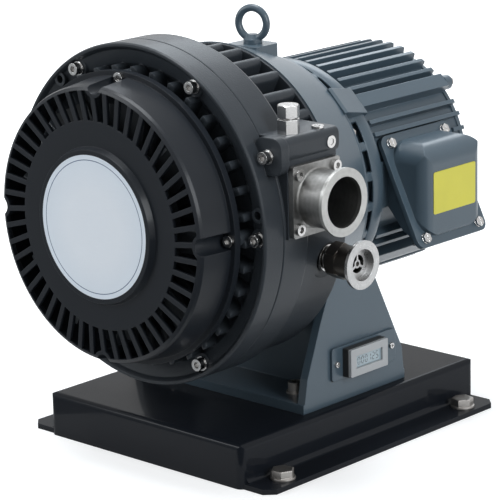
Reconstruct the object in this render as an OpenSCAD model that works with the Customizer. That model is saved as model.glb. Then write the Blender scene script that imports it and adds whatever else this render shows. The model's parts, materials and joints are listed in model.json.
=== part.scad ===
// Dry scroll vacuum pump on a pedestal and a folded base plate.
// +Z is up and the floor is z = 0. The pump axis runs along Y, the fan cover faces -Y
// and the two vacuum ports face +X. The origin is the floor point midway between the
// four fixing holes of the base plate, straight under the pump axis.

/* [Layout] */
// Height of the pump axis above the floor
axis_h = 211; // [208:1:225]

/* [Base plate] */
// Width of the raised middle
base_w = 224; // [218:1:250]
// Length of the raised middle
base_l = 304; // [290:1:330]
// Height of the raised middle
base_h = 38; // [34:1:40]
// Thickness of the folded sheet
sheet_t = 4.5; // [3:0.5:5]
// Width of each fixing flange
flange_w = 28; // [26:1:34]
// Radius of the folds
fold_r = 5; // [5:0.5:7]

/* [Bearing housing] */
// Radius of the drum at its front face
drum_front_r = 127.5; // [126:0.5:130]
// Radius of the drum at its rear rim
drum_rear_r = 110; // [108:0.5:112]
// Length of the drum
drum_len = 54.3; // [53:0.1:58]
// Wall of the drum
drum_wall = 8; // [6:0.5:9]
// Width across the two legs
pedestal_w = 200; // [196:1:202]
// Thickness of the legs and of the web
leg_t = 8; // [6:0.5:9]
// Thickness of the foot plate
foot_t = 8; // [7:0.5:9]

/* [Scroll stage] */
// Outer radius of both scroll castings
casing_r = 142; // [141:0.5:144]
// Thickness of the end plates
plate_t = 8.3; // [8:0.1:9]
// Height of the scroll wraps
wrap_h = 19.8; // [18:0.1:21]
// Distance from one turn of a wrap to the next
wrap_pitch = 20; // [19.6:0.1:21]
// Thickness of a wrap
wrap_t = 4.5; // [4:0.1:4.8]
// Cooling fins round each casting
fin_count = 36; // [36:12:36]
// Thickness of a rear fin
rear_fin_t = 10; // [8:0.5:11]
// Thickness of a front fin
front_fin_t = 7; // [5:0.5:8]
// Distance of the three guide cranks from the axis
crank_circle_r = 108.5; // [108:0.1:109]

/* [Shaft] */
// Radius of the crank pin
pin_r = 16; // [15.5:0.1:17]
// Radius of the shaft at the front bearing
front_journal_r = 10; // [9.5:0.5:10.5]
// Radius of the shaft at the main bearing
main_journal_r = 15; // [14.5:0.5:15.5]

/* [Fan cover] */
// Radius of the cover at its face
cover_r = 114; // [113:0.5:115]
// Radius of the ring behind the cover
cover_ring_r = 121.5; // [120:0.5:122]
// Depth of the cover from its ring to its face
cover_depth = 37; // [35:1:40]
// Inner radius of the air slots
slot_in_r = 86; // [84:0.5:88]
// Outer radius of the air slots
slot_out_r = 110; // [108:0.5:110.5]
// Width of the bars between the air slots
slot_bar_w = 4.4; // [3.5:0.1:5]
// Number of air slots
slot_count = 48; // [40:4:56]
// Radius of the label plate
label_r = 59; // [50:1:60]

/* [Ports] */
// Length of the inlet from its pad to its face
inlet_len = 33.5; // [30:0.5:40]
// Bore radius of the inlet
inlet_bore_r = 20.5; // [19:0.5:21]
// Rim radius of the inlet flange
inlet_rim_r = 27.5; // [27:0.5:28]
// Length of the exhaust valve body
valve_body_len = 24.3; // [22:0.1:27]
// Rim radius of the exhaust flange
exhaust_rim_r = 20; // [19.5:0.5:21]
// Travel of the exhaust valve
valve_travel = 2.5; // [1.5:0.1:2.8]

/* [Motor] */
// Length of the finned motor frame
frame_len = 116; // [112:1:122]
// Radius over the motor fins
motor_fin_r = 99.5; // [97:0.5:100]
// Radius of the motor frame between its fins
frame_r = 91; // [89:0.5:92]
// Thickness of a motor fin
motor_fin_t = 3.6; // [3:0.1:4.2]

/* [Terminal box] */
// Width of the cover flange
box_flange_w = 93; // [91:1:96]
// Height of the cover flange along its slope
box_flange_h = 101; // [99:1:104]
// Slope of the cover flange from upright, in degrees
box_tilt = 26; // [24:0.5:28]

/* [Hour meter] */
// Width of the meter bezel
bezel_w = 48; // [46:0.5:50]
// Height of the meter bezel
bezel_h = 24; // [23:0.5:25]

/* [Clearances] */
// Radial clearance of every running fit
run_gap = 0.03; // [0.02:0.01:0.06]
// Clearance between parts that move past each other
free_gap = 0.4; // [0.3:0.05:0.5]
// Clearance between scroll flanks
flank_gap = 0.3; // [0.25:0.05:0.35]

/* [Hidden] */
$fn = 64;
over = 1;

// The stack along the pump axis, from the rear face of the drum forwards
drum_front_y = -44.5;
drum_rear_y = drum_front_y + drum_len;
rear_gap = 27.5;
rear_plate_back_y = drum_front_y - rear_gap;
rear_plate_y = rear_plate_back_y - plate_t;
orbit_plate_t = 8;
orbit_back_y = rear_plate_y - wrap_h - free_gap;
orbit_front_y = orbit_back_y - orbit_plate_t;
seam_y = orbit_front_y - wrap_h - free_gap;
front_plate_y = seam_y - plate_t;
front_rim_len = 21.6;
front_rim_y = seam_y - front_rim_len;
rear_flange_len = 31.7;
rear_flange_y = seam_y + rear_flange_len;
cover_stand = 6.7;
cover_back_y = front_rim_y - cover_stand;
cover_ring_t = 6;
cover_ring_y = cover_back_y - cover_ring_t;
cover_face_y = cover_back_y - cover_depth;
disc_rise = 5;
cover_front_y = cover_face_y - disc_rise;

// The motor stack behind the drum
bracket_front_t = 4;
bracket_len = 37.2;
bracket_rear_t = 8;
frame_y = drum_rear_y + bracket_len;
frame_end_y = frame_y + frame_len;
rear_cover_t = 8;
tie_head_h = 4;

// Base plate places
base_bolt_x = base_w / 2 + flange_w / 2;
base_bolt_in = 34;
base_bolt_y = base_l / 2 - base_bolt_in;
flange_end_gap = 3;
flange_corner = 8;
base_corner_r = 6;
nut_h = 6.5;
pedestal_bolt_x = 70;
pedestal_bolt_y_front = -38;
pedestal_bolt_y_rear = 50;

// Housing places
hub_r = 42;
hub_stand = 2.2;
hub_rear_y = drum_rear_y + hub_stand;
web_hub_r = 66;
web_hub_y = 0;
drum_plate_t = 8.5;
housing_rib_t = 6;
foot_front_y = -62;
foot_rear_y = 70;
web_y = -16;
leg_top_z = 52;
eye_boss_w = 34;
eye_boss_l = 30;
eye_boss_top = 121;
eye_y = -6;
rim_t = 6;
rim_in_r = 92;
main_bearing_r = 31;
main_bearing_w = 16;
rear_bearing_r = 26;
rear_bearing_w = 15;
rear_journal_r = 12.5;
main_bearing_lip = 4.5;
main_bearing_y = drum_front_y + main_bearing_lip;
rear_bearing_y = hub_rear_y - rear_bearing_w;
bracket_bolt_circle = 101;
bracket_bolt_count = 6;
bracket_bolt_turn = 30;
corner_turn = 45;

// Scroll places
base_circle_r = wrap_pitch / (2 * PI);
throw = wrap_pitch / 2 - wrap_t - flank_gap;
wrap_in_r = 37;
wrap_out_r = 87.5;
wrap_start = wrap_in_r / base_circle_r * 180 / PI;
wrap_end = wrap_out_r / base_circle_r * 180 / PI;
wrap_steps = 150;
seal_w = 1.6;
seal_d = 1.6;
chamber_r = 105.5;
orbit_plate_r = 99;
orbit_hub_r = 28;
orbit_hub_out = 13;
pin_bearing_r = 21;
pin_bearing_half = 14;
orbit_mid_y = (orbit_back_y + orbit_front_y) / 2;
ear_r = 13;
ear_out = 5;
crank_angles = [90, 210, 330];
crank_pocket_r = ear_r + throw + free_gap;
crank_disc_r = 10;
crank_disc_t = 4;
stub_r = 5;
stub_bearing_r = 10.5;
stub_bearing_w = 8;
fixed_stub_r = 6;
fixed_crank_bearing_r = 14;
fixed_crank_bearing_w = 8;
pocket_y = orbit_back_y + ear_out + free_gap + crank_disc_t + free_gap;
crank_boss_r = 17.5;
casing_bolt_circle = 131.5;
casing_bolt_r = 3;
casing_bolt_count = 6;
bolt_boss_r = 8.5;
bolt_seat = 4.3;
seal_groove_r = 124.5;
seal_section = 2.4;
front_fin_in_r = 44;
front_hub_r = 28;
front_bearing_r = 21;
front_bearing_w = 12;
jack_angles = [8.5, 130];
jack_circle = 134;
jack_boss_r = 6;
jack_hole_r = 3.4;
lug_x = 135;
lug_z = 65.3;
lug_w = 28;
lug_h = 30;
lug_seat = 12.5;
lug_edge_r = 9;
rear_body_r = 114;
rear_fin_r = 127;
rear_fin_in_r = 60;
rear_hub_r = 34;
shaft_r = 17.5;
shaft_seal_r = 24;
front_seal_r = 19;
front_seal_shaft_r = 12;
discharge_r = 5;
discharge_x = 24;
duct_r = 7;

// Port block places, from the pump axis
bar_z0 = 59;
bar_z1 = 79;
bar_x1 = 146;
bar_x0 = 84;
bar_y1 = -66;
bar_edge_r = 6;
pad_x1 = 144.5;
inlet_reach = pad_x1 + inlet_len;
inlet_y = -97.3;
inlet_z = 27.4;
inlet_plate_w = 56;
inlet_plate_h = 58;
inlet_plate_t = 5;
inlet_screw_gap = 44;
inlet_tube_r = 23.5;
inlet_rim_t = 3;
pad_x0 = 96;
exhaust_y = -67.1;
exhaust_z = -31;
exhaust_boss_r = 17;
exhaust_boss_x = 129.5;
nipple_r = 11.5;
nipple_len = 10.7;
nipple_x1 = exhaust_boss_x + nipple_len;
nipple_thread_r = 8;
nipple_thread_l = 12;
valve_body_r = 13.5;
valve_body_x1 = nipple_x1 + valve_body_len;
valve_hex_af = 27;
valve_hex_len = 11;
exhaust_flange_len = 6.2;
exhaust_reach = valve_body_x1 + exhaust_flange_len;
exhaust_bore_r = 13;
exhaust_counter = 6;
exhaust_inner_r = 7.5;
exhaust_rim_t = 2.8;
poppet_r = 7.6;
poppet_t = 3;
poppet_stem_r = 2;
spider_arm_t = 2;
spider_hub_r = 3.6;
spider_t = 3;
valve_seat_t = 4;
chamber_wall = 3.5;
spring_wire_r = 0.5;
spring_turns = 5;
spring_r = 4.6;
vent_x = 132;
vent_y = -110;
vent_hex_af = 16;
vent_nut_h = 11.5;
vent_cap_h = 10.5;
vent_neck = 1;
vent_edge = 1.6;

// Bracket, coupling and motor places
bracket_r = 108.5;
bracket_bolt_head_h = 4;
lantern_r = 94;
lantern_wall = 9;
window_count = 24;
window_turn = 9.5;
window_len = 17;
claw_t = 6;
ear_w = 26;
ear_reach = 111;
coupling_r = 27;
coupling_bore_r = 11;
coupling_plate = 8;
jaw_len = 9;
jaw_turn = 54;
jaw_count = 3;
coupling_gap = 3.2;
coupling_y = drum_rear_y + coupling_gap;
motor_fin_turn = 7.3;
motor_pad_w = 13;
motor_pad_r = 101.5;
side_pad_x = 91.4;
side_pad_half = 20;
frame_wall = 9;
motor_shaft_r = 12;
rotor_r = 46;
stator_in_r = 47;
stator_margin = 26;
winding_r = 74;
motor_bearing_r = 26;
motor_bearing_w = 15;
tie_circle = 95.5;
tie_r = 3;
rear_cover_r = 92;

// Terminal box places
box_top_x = 88;
box_top_z = 41;
box_y = 99.5;
box_cover_t = 4;
gasket_t = 1.5;
box_half_w = 39;
box_wall = 4;
box_low_z = -39;
hump_x = 132;
hump_z = 36;
hump_half_h = 43;
hump_half_w = 39.5;
hump_r = 20;
hump_edge_r = 11;
hump_top_r = 17;
hump_low_r = 7;
hump_drop = 46;
cover_wall = 3.5;
box_screw_w = 72;
box_screw_h = 85.6;
conduit_r = 7.6;
wire_hole_r = 7;
wire_hole_z = 5;
conduit_x = 114.5;
conduit_z = 7;

// Hour meter places
meter_y = 10;
meter_z = -138.5;
meter_plate_w = 83;
meter_plate_h = 29;
meter_plate_t = 2.5;
meter_plate_y = 13.5;
meter_screw_gap = 71;
meter_body_w = 38;
meter_body_h = 22;
meter_depth = 38;
meter_collar_t = 6;
meter_bezel_t = 3;

housing_grey = [0.40, 0.47, 0.53];
casting_grey = [0.26, 0.28, 0.31];
cover_black = [0.15, 0.16, 0.18];
base_black = [0.11, 0.12, 0.15];
steel = [0.78, 0.78, 0.76];
bare_alloy = [0.66, 0.66, 0.66];
bronze = [0.30, 0.27, 0.24];
seal_black = [0.08, 0.08, 0.08];
ptfe = [0.80, 0.76, 0.66];
copper = [0.72, 0.42, 0.26];

// Lifts a piece that is drawn from the pump axis to the height of the axis
module placed() { translate([0, 0, axis_h]) children(); }

// An outline in X and Z about the pump axis, carried from one place on the axis to another
module span(y0, y1) {
    translate([0, y1, 0]) rotate([90, 0, 0]) linear_extrude(y1 - y0) children();
}

// A profile of radius and place, turned about the pump axis
module turned(points) { rotate([-90, 0, 0]) rotate_extrude() polygon(points); }

// The same, turned about an axis along X through a port
module turned_x(y, z, points) {
    translate([0, y, z]) rotate([0, 90, 0]) rotate_extrude() polygon(points);
}

// An outline in Y and Z, carried along X
module across(x0, x1) {
    translate([x0, 0, 0]) rotate([90, 0, 90]) linear_extrude(x1 - x0) children();
}

module disc(r, y0, y1) { span(y0, y1) circle(r); }

module ring(in_r, out_r) {
    difference() {
        circle(out_r);
        circle(in_r);
    }
}

module spread(count, start = 0) {
    for (i = [0:count - 1]) rotate(start + i * 360 / count) children();
}

module rounded(w, h, r) {
    square([w - 2 * r, h], center = true);
    square([w, h - 2 * r], center = true);
    for (x = [-1, 1], y = [-1, 1]) translate([x * (w / 2 - r), y * (h / 2 - r)]) circle(r);
}

module hexagon(across_flats) { circle(across_flats / sqrt(3), $fn = 6); }

// A socket screw: the seat is z = 0, the head stands above it and the shank hangs below
module socket_screw(r, len, head_r, head_h) {
    difference() {
        cylinder(head_h, r = head_r);
        translate([0, 0, head_h * socket_floor_share]) linear_extrude(head_h) hexagon(head_r);
    }
    translate([0, 0, -len]) cylinder(len, r = r);
}

socket_floor_share = 0.45;

module hex_screw(r, len, flats, head_h) {
    linear_extrude(head_h) hexagon(flats);
    translate([0, 0, -len]) cylinder(len, r = r);
}

// A sealed ball bearing as one ring with its seals set back from both faces
module bearing(in_r, out_r, w) {
    land_share = 0.22;
    seal_share = 0.08;
    land = (out_r - in_r) * land_share;
    set_back = w * seal_share;
    rotate_extrude() polygon([[in_r, 0], [in_r + land, 0], [in_r + land, set_back],
        [out_r - land, set_back], [out_r - land, 0], [out_r, 0], [out_r, w], [out_r - land, w],
        [out_r - land, w - set_back], [in_r + land, w - set_back], [in_r + land, w], [in_r, w]]);
}

// A bearing whose axis runs along Y, from y0 backwards
module bearing_y(in_r, out_r, w, y0) {
    translate([0, y0, 0]) rotate([-90, 0, 0]) bearing(in_r, out_r, w);
}

// A point of a wrap: the unwound length along the tangent of the base circle, plus an offset
function wrap_point(turn, offset) = let (out = base_circle_r * turn * PI / 180 + offset)
    [base_circle_r * cos(turn) + out * sin(turn), base_circle_r * sin(turn) - out * cos(turn)];
function wrap_turn(i) = wrap_start + (wrap_end - wrap_start) * i / wrap_steps;

// The outline of one involute wrap of a given thickness, some steps shorter at both ends
module wrap_outline(t, trim = 0) {
    polygon(concat(
        [for (i = [trim:wrap_steps - trim]) wrap_point(wrap_turn(i), t / 2)],
        [for (i = [wrap_steps - trim:-1:trim]) wrap_point(wrap_turn(i), -t / 2)]));
}

// A wrap that stands on a plate at y0 and ends at y1, with the tip seal's groove in its edge
module wrap(y0, y1) {
    low = min(y0, y1);
    high = max(y0, y1);
    difference() {
        span(low, high) wrap_outline(wrap_t);
        if (y1 > y0) span(y1 - seal_d, y1 + over) wrap_outline(seal_w, seal_trim);
        else span(y1 - over, y1 + seal_d) wrap_outline(seal_w, seal_trim);
    }
}
seal_trim = 2;
front_wrap_tip = orbit_front_y - free_gap;
rear_wrap_tip = orbit_back_y + free_gap;

// Base plate

// The raised middle as a solid, drawn in by an inset on every side but the floor
module hat(inset) {
    w = base_w - 2 * inset;
    l = base_l - 2 * inset;
    h = base_h - inset;
    r = fold_r - inset * fold_inset_share;
    intersection() {
        rotate([90, 0, 0]) translate([0, 0, -l / 2]) linear_extrude(l) arch(w, h, r);
        rotate([90, 0, 90]) translate([0, 0, -w / 2]) linear_extrude(w) arch(l, h, r);
        translate([0, 0, -over]) linear_extrude(h + 2 * over) rounded(w, l, base_corner_r - inset);
    }
}

module arch(w, h, r) {
    translate([-w / 2, -over]) square([w, h - r + over]);
    translate([-w / 2 + r, 0]) square([w - 2 * r, h]);
    for (s = [-1, 1]) translate([s * (w / 2 - r), h - r]) circle(r);
}

fold_inset_share = 0.9;

module base_flange() {
    x0 = base_w / 2 - sheet_t / 2;
    x1 = base_w / 2 + flange_w;
    y1 = base_l / 2 - flange_end_gap;
    linear_extrude(sheet_t) polygon([[x0, -y1], [x1 - flange_corner, -y1], [x1, -y1 + flange_corner],
        [x1, y1 - flange_corner], [x1 - flange_corner, y1], [x0, y1]]);
}

// The inside curve of the fold between the wall and its flange
module base_fillet() {
    y1 = base_l / 2 - base_corner_r;
    translate([base_w / 2, 0, sheet_t]) rotate([90, 0, 0]) translate([0, 0, -y1])
        linear_extrude(2 * y1) difference() {
            translate([-sheet_t / 2, -sheet_t / 2]) square(sheet_t / 2 + fold_r);
            translate([fold_r, fold_r]) circle(fold_r);
        }
}

module base_plate() color(base_black) difference() {
    union() {
        intersection() {
            hat(0);
            translate([-base_w, -base_l, 0]) cube([2 * base_w, 2 * base_l, base_h]);
        }
        for (s = [0, 1]) mirror([s, 0, 0]) {
            base_flange();
            base_fillet();
        }
    }
    hat(sheet_t);
    for (x = [-1, 1], y = [-1, 1]) translate([x * base_bolt_x, y * base_bolt_y, -over])
        cylinder(sheet_t + 2 * over, r = base_hole_r);
    pedestal_bolt_places() translate([0, 0, base_h - sheet_t - over])
        cylinder(sheet_t + 2 * over, r = pedestal_hole_r);
}
base_hole_r = 5.5;
pedestal_hole_r = 4.5;

module pedestal_bolt_places() {
    for (x = [-1, 1], y = [pedestal_bolt_y_front, pedestal_bolt_y_rear])
        translate([x * pedestal_bolt_x, y, 0]) children();
}

// Bearing housing with its pedestal

module drum_solid(inset, y0, y1) {
    turned([[0, y0], [drum_front_r - inset, y0], [drum_rear_r - inset, y1], [0, y1]]);
}

// Front and rear edges of a leg, as shares of its height and of its own reach
leg_z_shares = [0, 0.24, 0.61, 0.91, 1];
leg_front_shares = [0, 0.09, 0.37, 0.63, 0.73];
leg_rear_shares = [0, 0.05, 0.37, 0.63, 0.71];
leg_foot_z = base_h - axis_h;

module leg_outline() {
    h = -leg_top_z - leg_foot_z;
    front = [for (i = [0:4]) [foot_front_y * (1 - leg_front_shares[i]), leg_foot_z + h * leg_z_shares[i]]];
    rear = [for (i = [4:-1:0]) [foot_rear_y * (1 - leg_rear_shares[i]), leg_foot_z + h * leg_z_shares[i]]];
    polygon(concat(front, rear));
}

module housing_solid() {
    drum_solid(0, drum_front_y, drum_rear_y);
    for (s = [0, 1]) mirror([s, 0, 0]) difference() {
        across(pedestal_w / 2 - leg_t, pedestal_w / 2) leg_outline();
        disc(bracket_r + free_gap, drum_rear_y, foot_rear_y);
    }
    translate([-pedestal_w / 2, web_y, leg_foot_z])
        cube([pedestal_w, leg_t, -leg_top_z - leg_foot_z]);
    translate([-pedestal_w / 2, foot_front_y, leg_foot_z])
        cube([pedestal_w, foot_rear_y - foot_front_y, foot_t]);
    translate([0, eye_y, drum_rear_r - drum_wall])
        linear_extrude(eye_boss_top - drum_rear_r + drum_wall)
            rounded(eye_boss_w, eye_boss_l, fold_r);
}

module housing_inside() {
    turned([[0, drum_front_y + drum_plate_t],
        [drum_rear_r - drum_wall, drum_front_y + drum_plate_t],
        [drum_rear_r - drum_wall, drum_rear_y - rim_t], [rim_in_r, drum_rear_y - rim_t],
        [rim_in_r, drum_rear_y + over], [0, drum_rear_y + over]]);
}

module housing_ribs() {
    for (i = [0:3], s = [-1, 1]) rotate([0, i * 90 + s * corner_turn / 2, 0])
        translate([hub_r - over, drum_front_y + drum_plate_t - over, -housing_rib_t / 2])
            cube([drum_rear_r - drum_wall - hub_r + 2 * over,
                drum_len - drum_plate_t - rim_t - housing_rib_t, housing_rib_t]);
}

module bearing_housing() color(housing_grey) placed() difference() {
    union() {
        difference() {
            housing_solid();
            housing_inside();
        }
        disc(hub_r, drum_front_y + over, hub_rear_y);
        disc(web_hub_r, drum_front_y + over, web_hub_y);
        housing_ribs();
    }
    disc(shaft_r + over, drum_front_y - over, hub_rear_y + over);
    disc(main_bearing_r, main_bearing_y, main_bearing_y + main_bearing_w + over);
    disc(main_bearing_r - over, main_bearing_y, rear_bearing_y - leg_t);
    disc(rear_bearing_r, rear_bearing_y, hub_rear_y + over);
    span(drum_rear_y - rim_t, drum_rear_y + over) spread(bracket_bolt_count, bracket_bolt_turn)
        translate([bracket_bolt_circle, 0]) circle(bracket_thread_r);
    translate([0, 0, leg_foot_z]) pedestal_bolt_places()
        translate([0, 0, -over]) cylinder(foot_t + 2 * over, r = pedestal_hole_r);
    translate([0, eye_y, eye_boss_top - eye_thread_l]) cylinder(eye_thread_l + over, r = eye_thread_r);
    across(pedestal_w / 2 - leg_t - over, pedestal_w / 2 + over)
        translate([meter_plate_y, meter_z]) rounded(meter_body_w + over, meter_body_h + over, over);
    across(pedestal_w / 2 - leg_t - over, pedestal_w / 2 + over)
        for (s = [-1, 1]) translate([meter_plate_y + s * meter_screw_gap / 2, meter_z])
            circle(meter_screw_r);
}
bracket_thread_r = 3;
eye_thread_l = 14;
eye_thread_r = 4;
meter_screw_r = 1.6;

module pedestal_bolts() color(steel) placed() translate([0, 0, leg_foot_z]) pedestal_bolt_places() {
    translate([0, 0, foot_t]) cylinder(foot_washer_t, r = foot_washer_r);
    translate([0, 0, foot_t + foot_washer_t])
        socket_screw(foot_screw_r, foot_t + foot_washer_t, foot_head_r, foot_head_h);
    translate([0, 0, -sheet_t - nut_h]) cylinder(sheet_t + nut_h + foot_t, r = foot_screw_r);
    translate([0, 0, -sheet_t - nut_h]) linear_extrude(nut_h) hexagon(foot_nut_af);
}
foot_washer_t = 1.6;
foot_washer_r = 8;
foot_screw_r = 4;
foot_head_r = 6.5;
foot_head_h = 8;
foot_nut_af = 13;

module eye_bolt() color(housing_grey) placed() translate([0, eye_y, eye_boss_top]) {
    cylinder(eye_foot_h, r = eye_foot_r);
    translate([0, 0, eye_foot_h]) cylinder(eye_neck_h, r1 = eye_foot_r - over, r2 = eye_foot_r / 2);
    translate([0, 0, -eye_thread_l + over]) cylinder(eye_thread_l, r = eye_thread_r);
    translate([0, 0, eye_ring_h]) rotate([90, 0, eye_turn])
        rotate_extrude() translate([eye_ring_r, 0]) circle(eye_wire_r);
}
eye_foot_h = 4;
eye_foot_r = 8;
eye_neck_h = 4;
eye_ring_h = 17;
eye_ring_r = 13.15;
eye_wire_r = 3.15;
eye_turn = 15;

// Hour meter

module hour_meter_plate() color(housing_grey) placed() difference() {
    across(pedestal_w / 2, pedestal_w / 2 + meter_plate_t) translate([meter_plate_y, meter_z])
        rounded(meter_plate_w, meter_plate_h, 3 * over);
    across(pedestal_w / 2 - over, pedestal_w / 2 + meter_plate_t + over)
        translate([meter_plate_y, meter_z])
            square([meter_body_w + over, meter_body_h + over], center = true);
    across(pedestal_w / 2 - over, pedestal_w / 2 + meter_plate_t + over)
        for (s = [-1, 1]) translate([meter_plate_y + s * meter_screw_gap / 2, meter_z])
            circle(meter_screw_r);
}

module hour_meter_body() color(seal_black) placed() difference() {
    union() {
        across(meter_collar_x - meter_plate_t - meter_depth, meter_collar_x)
            translate([meter_plate_y, meter_z]) square([meter_body_w, meter_body_h], center = true);
        across(meter_collar_x, meter_bezel_x)
            translate([meter_y, meter_z]) rounded(bezel_w + over, bezel_h + over, over);
    }
    across(meter_bezel_x - meter_bezel_t, meter_bezel_x + over)
        translate([meter_y, meter_z]) square([window_w, window_h], center = true);
}
meter_collar_x = pedestal_w / 2 + meter_plate_t;
meter_bezel_x = meter_collar_x + meter_collar_t;
window_w = 34;
window_h = 11;

module hour_meter_bezel() color([0.62, 0.64, 0.66]) placed() difference() {
    across(meter_bezel_x, meter_bezel_x + meter_bezel_t)
        translate([meter_y, meter_z]) rounded(bezel_w, bezel_h, over);
    across(meter_bezel_x - over, meter_bezel_x + meter_bezel_t + over)
        translate([meter_y, meter_z]) square([window_w, window_h], center = true);
}

module hour_meter_window() color([0.55, 0.62, 0.66]) placed()
    across(meter_bezel_x - meter_bezel_t, meter_bezel_x + over)
        translate([meter_y, meter_z]) square([window_w - run_gap, window_h - run_gap], center = true);

module hour_meter_screws() color(steel) placed()
    for (s = [-1, 1]) translate([meter_collar_x, meter_plate_y + s * meter_screw_gap / 2, meter_z])
        rotate([0, 90, 0]) {
            difference() {
                cylinder(meter_head_h, r1 = meter_head_r, r2 = meter_head_r - over / 2);
                for (a = [0, 90]) rotate(a) translate([0, 0, meter_head_h])
                    cube([meter_head_r, meter_head_r / 4, meter_head_h], center = true);
            }
            translate([0, 0, -meter_plate_t - leg_t])
                cylinder(meter_plate_t + leg_t, r = meter_screw_r - run_gap);
        }
meter_head_r = 3;
meter_head_h = 1.8;

// Scroll castings

module crank_places() {
    for (a = crank_angles) rotate([0, -a, 0]) translate([crank_circle_r, 0, 0])
        rotate([0, a, 0]) children();
}

// The bolt circle of the two castings, as places in an outline
module bolt_places() { spread(casing_bolt_count) translate([casing_bolt_circle, 0]) children(); }

// The solid part of the front casting: a lip, a bowl that falls inwards from it, and the plate
module front_bowl() {
    turned([[0, front_plate_y], [front_fin_tip_r - front_fin_t, front_plate_y],
        [front_fin_tip_r, front_rim_y + 2 * bowl_drop], [casing_r - 2 * lip_r, front_rim_y + bowl_drop],
        [casing_r - lip_r - lip_edge, front_rim_y + lip_edge], [casing_r - lip_r, front_rim_y],
        [casing_r - over, front_rim_y], [casing_r, front_rim_y + lip_edge],
        [casing_r, seam_y - seam_groove], [casing_r - seam_groove, seam_y], [0, seam_y]]);
}
front_fin_tip_r = 124.5;
front_fin_rise = 4;
front_fin_start = 8;
bowl_drop = 3.6;
lip_r = 3;
lip_edge = 1.5;
seam_groove = 0.9;

// A front fin is an arched bar along the radius, cut to a round nose at its outer end
module front_fin() {
    top_y = front_rim_y - front_fin_rise;
    tip_x = front_fin_tip_r - front_fin_t / 2;
    arch_r = front_fin_t / 2 + free_gap;
    intersection() {
        translate([front_fin_in_r, 0, 0]) rotate([90, 0, 90]) linear_extrude(front_fin_tip_r) {
            translate([top_y + arch_r, -front_fin_t / 2])
                square([front_plate_y + over - top_y - arch_r, front_fin_t]);
            intersection() {
                translate([top_y + arch_r, 0]) circle(arch_r);
                translate([top_y, -front_fin_t / 2]) square([arch_r + over, front_fin_t]);
            }
        }
        span(top_y - over, front_plate_y + over) {
            translate([0, -front_fin_t / 2]) square([tip_x, front_fin_t]);
            translate([tip_x, 0]) circle(front_fin_t / 2);
        }
    }
}

module front_fins() {
    for (i = [0:fin_count - 1]) rotate([0, -front_fin_start - i * 360 / fin_count, 0]) front_fin();
}

module front_fixed_scroll() color(casting_grey) placed() {
    difference() {
        union() {
            front_bowl();
            front_fins();
            disc(front_hub_r, front_rim_y, front_plate_y + over);
            span(front_rim_y + bolt_seat, front_plate_y + over) bolt_places() circle(bolt_boss_r);
            span(front_rim_y + lip_edge, front_plate_y + over)
                for (a = jack_angles) rotate(a) translate([jack_circle, 0]) circle(jack_boss_r);
            span(front_rim_y + lug_seat, seam_y) translate([lug_x, lug_z])
                rounded(lug_w, lug_h, lug_edge_r);
            span(cover_back_y, front_plate_y + over) spread(4)
                translate([cover_screw_circle, 0]) circle(cover_post_r);
        }
        disc(front_bearing_r, front_rim_y - over, front_rim_y + front_bearing_w);
        disc(front_seal_shaft_r + over, front_rim_y, seam_y);
        disc(front_seal_r, seam_y - seal_lip, seam_y + over);
        span(front_rim_y - over, front_rim_y + bolt_seat) bolt_places() circle(bolt_boss_r - over);
        span(front_rim_y - over, seam_y + over) {
            bolt_places() circle(casing_bolt_r + free_gap);
            translate([lug_x, lug_z]) circle(casing_bolt_r + free_gap);
            for (a = jack_angles) rotate(a) translate([jack_circle, 0]) circle(jack_hole_r);
        }
        span(cover_back_y - over, front_plate_y - over) spread(4)
            translate([cover_screw_circle, 0]) circle(cover_screw_r);
    }
    wrap(seam_y - over, front_wrap_tip);
}
seal_lip = 7;
cover_screw_circle = 116;
cover_post_r = 6;
cover_screw_r = 2.5;

// The rear casting's fins, as a round-ended outline about the axis
module rear_fin_outline() {
    spread(fin_count) {
        translate([rear_fin_in_r, -rear_fin_t / 2])
            square([rear_fin_r - rear_fin_t / 2 - rear_fin_in_r, rear_fin_t]);
        translate([rear_fin_r - rear_fin_t / 2, 0]) circle(rear_fin_t / 2);
    }
}

// The closed wall below the ports, between the ring and the plate behind the fins
module side_wall_outline() {
    difference() {
        ring(side_wall_r - side_wall_t, side_wall_r);
        polygon([[0, 0], for (a = [side_wall_a1, 90, 180, 270, 360 + side_wall_a0])
            2 * casing_r * [cos(a), sin(a)]]);
    }
}
ring_edge = 4;
air_plate_t = 3;
side_wall_r = 136.5;
side_wall_t = 7;
side_wall_a0 = -74;
side_wall_a1 = 20;
duct_wall = 3.5;

module port_block() {
    span(seam_y, bar_y1) translate([(bar_x0 + bar_x1) / 2, (bar_z0 + bar_z1) / 2])
        rounded(bar_x1 - bar_x0, bar_z1 - bar_z0, bar_edge_r);
    translate([pad_x0, inlet_y - inlet_plate_w / 2 - over, inlet_z - inlet_plate_h / 2 - over])
        cube([pad_x1 - pad_x0, inlet_plate_w + 2 * over, inlet_plate_h + bar_edge_r]);
    translate([pad_x0 - exhaust_boss_r, exhaust_y - exhaust_boss_r, exhaust_z])
        cube([casing_r - pad_x0, 2 * exhaust_boss_r, inlet_z - exhaust_z]);
    translate([discharge_x, exhaust_y, exhaust_z]) rotate([0, 90, 0])
        cylinder(pad_x0 - discharge_x, r = duct_r + duct_wall);
    translate([pad_x0 - exhaust_boss_r, exhaust_y, exhaust_z]) rotate([0, 90, 0])
        cylinder(exhaust_boss_x - pad_x0 + exhaust_boss_r, r = exhaust_boss_r);
}

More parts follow.
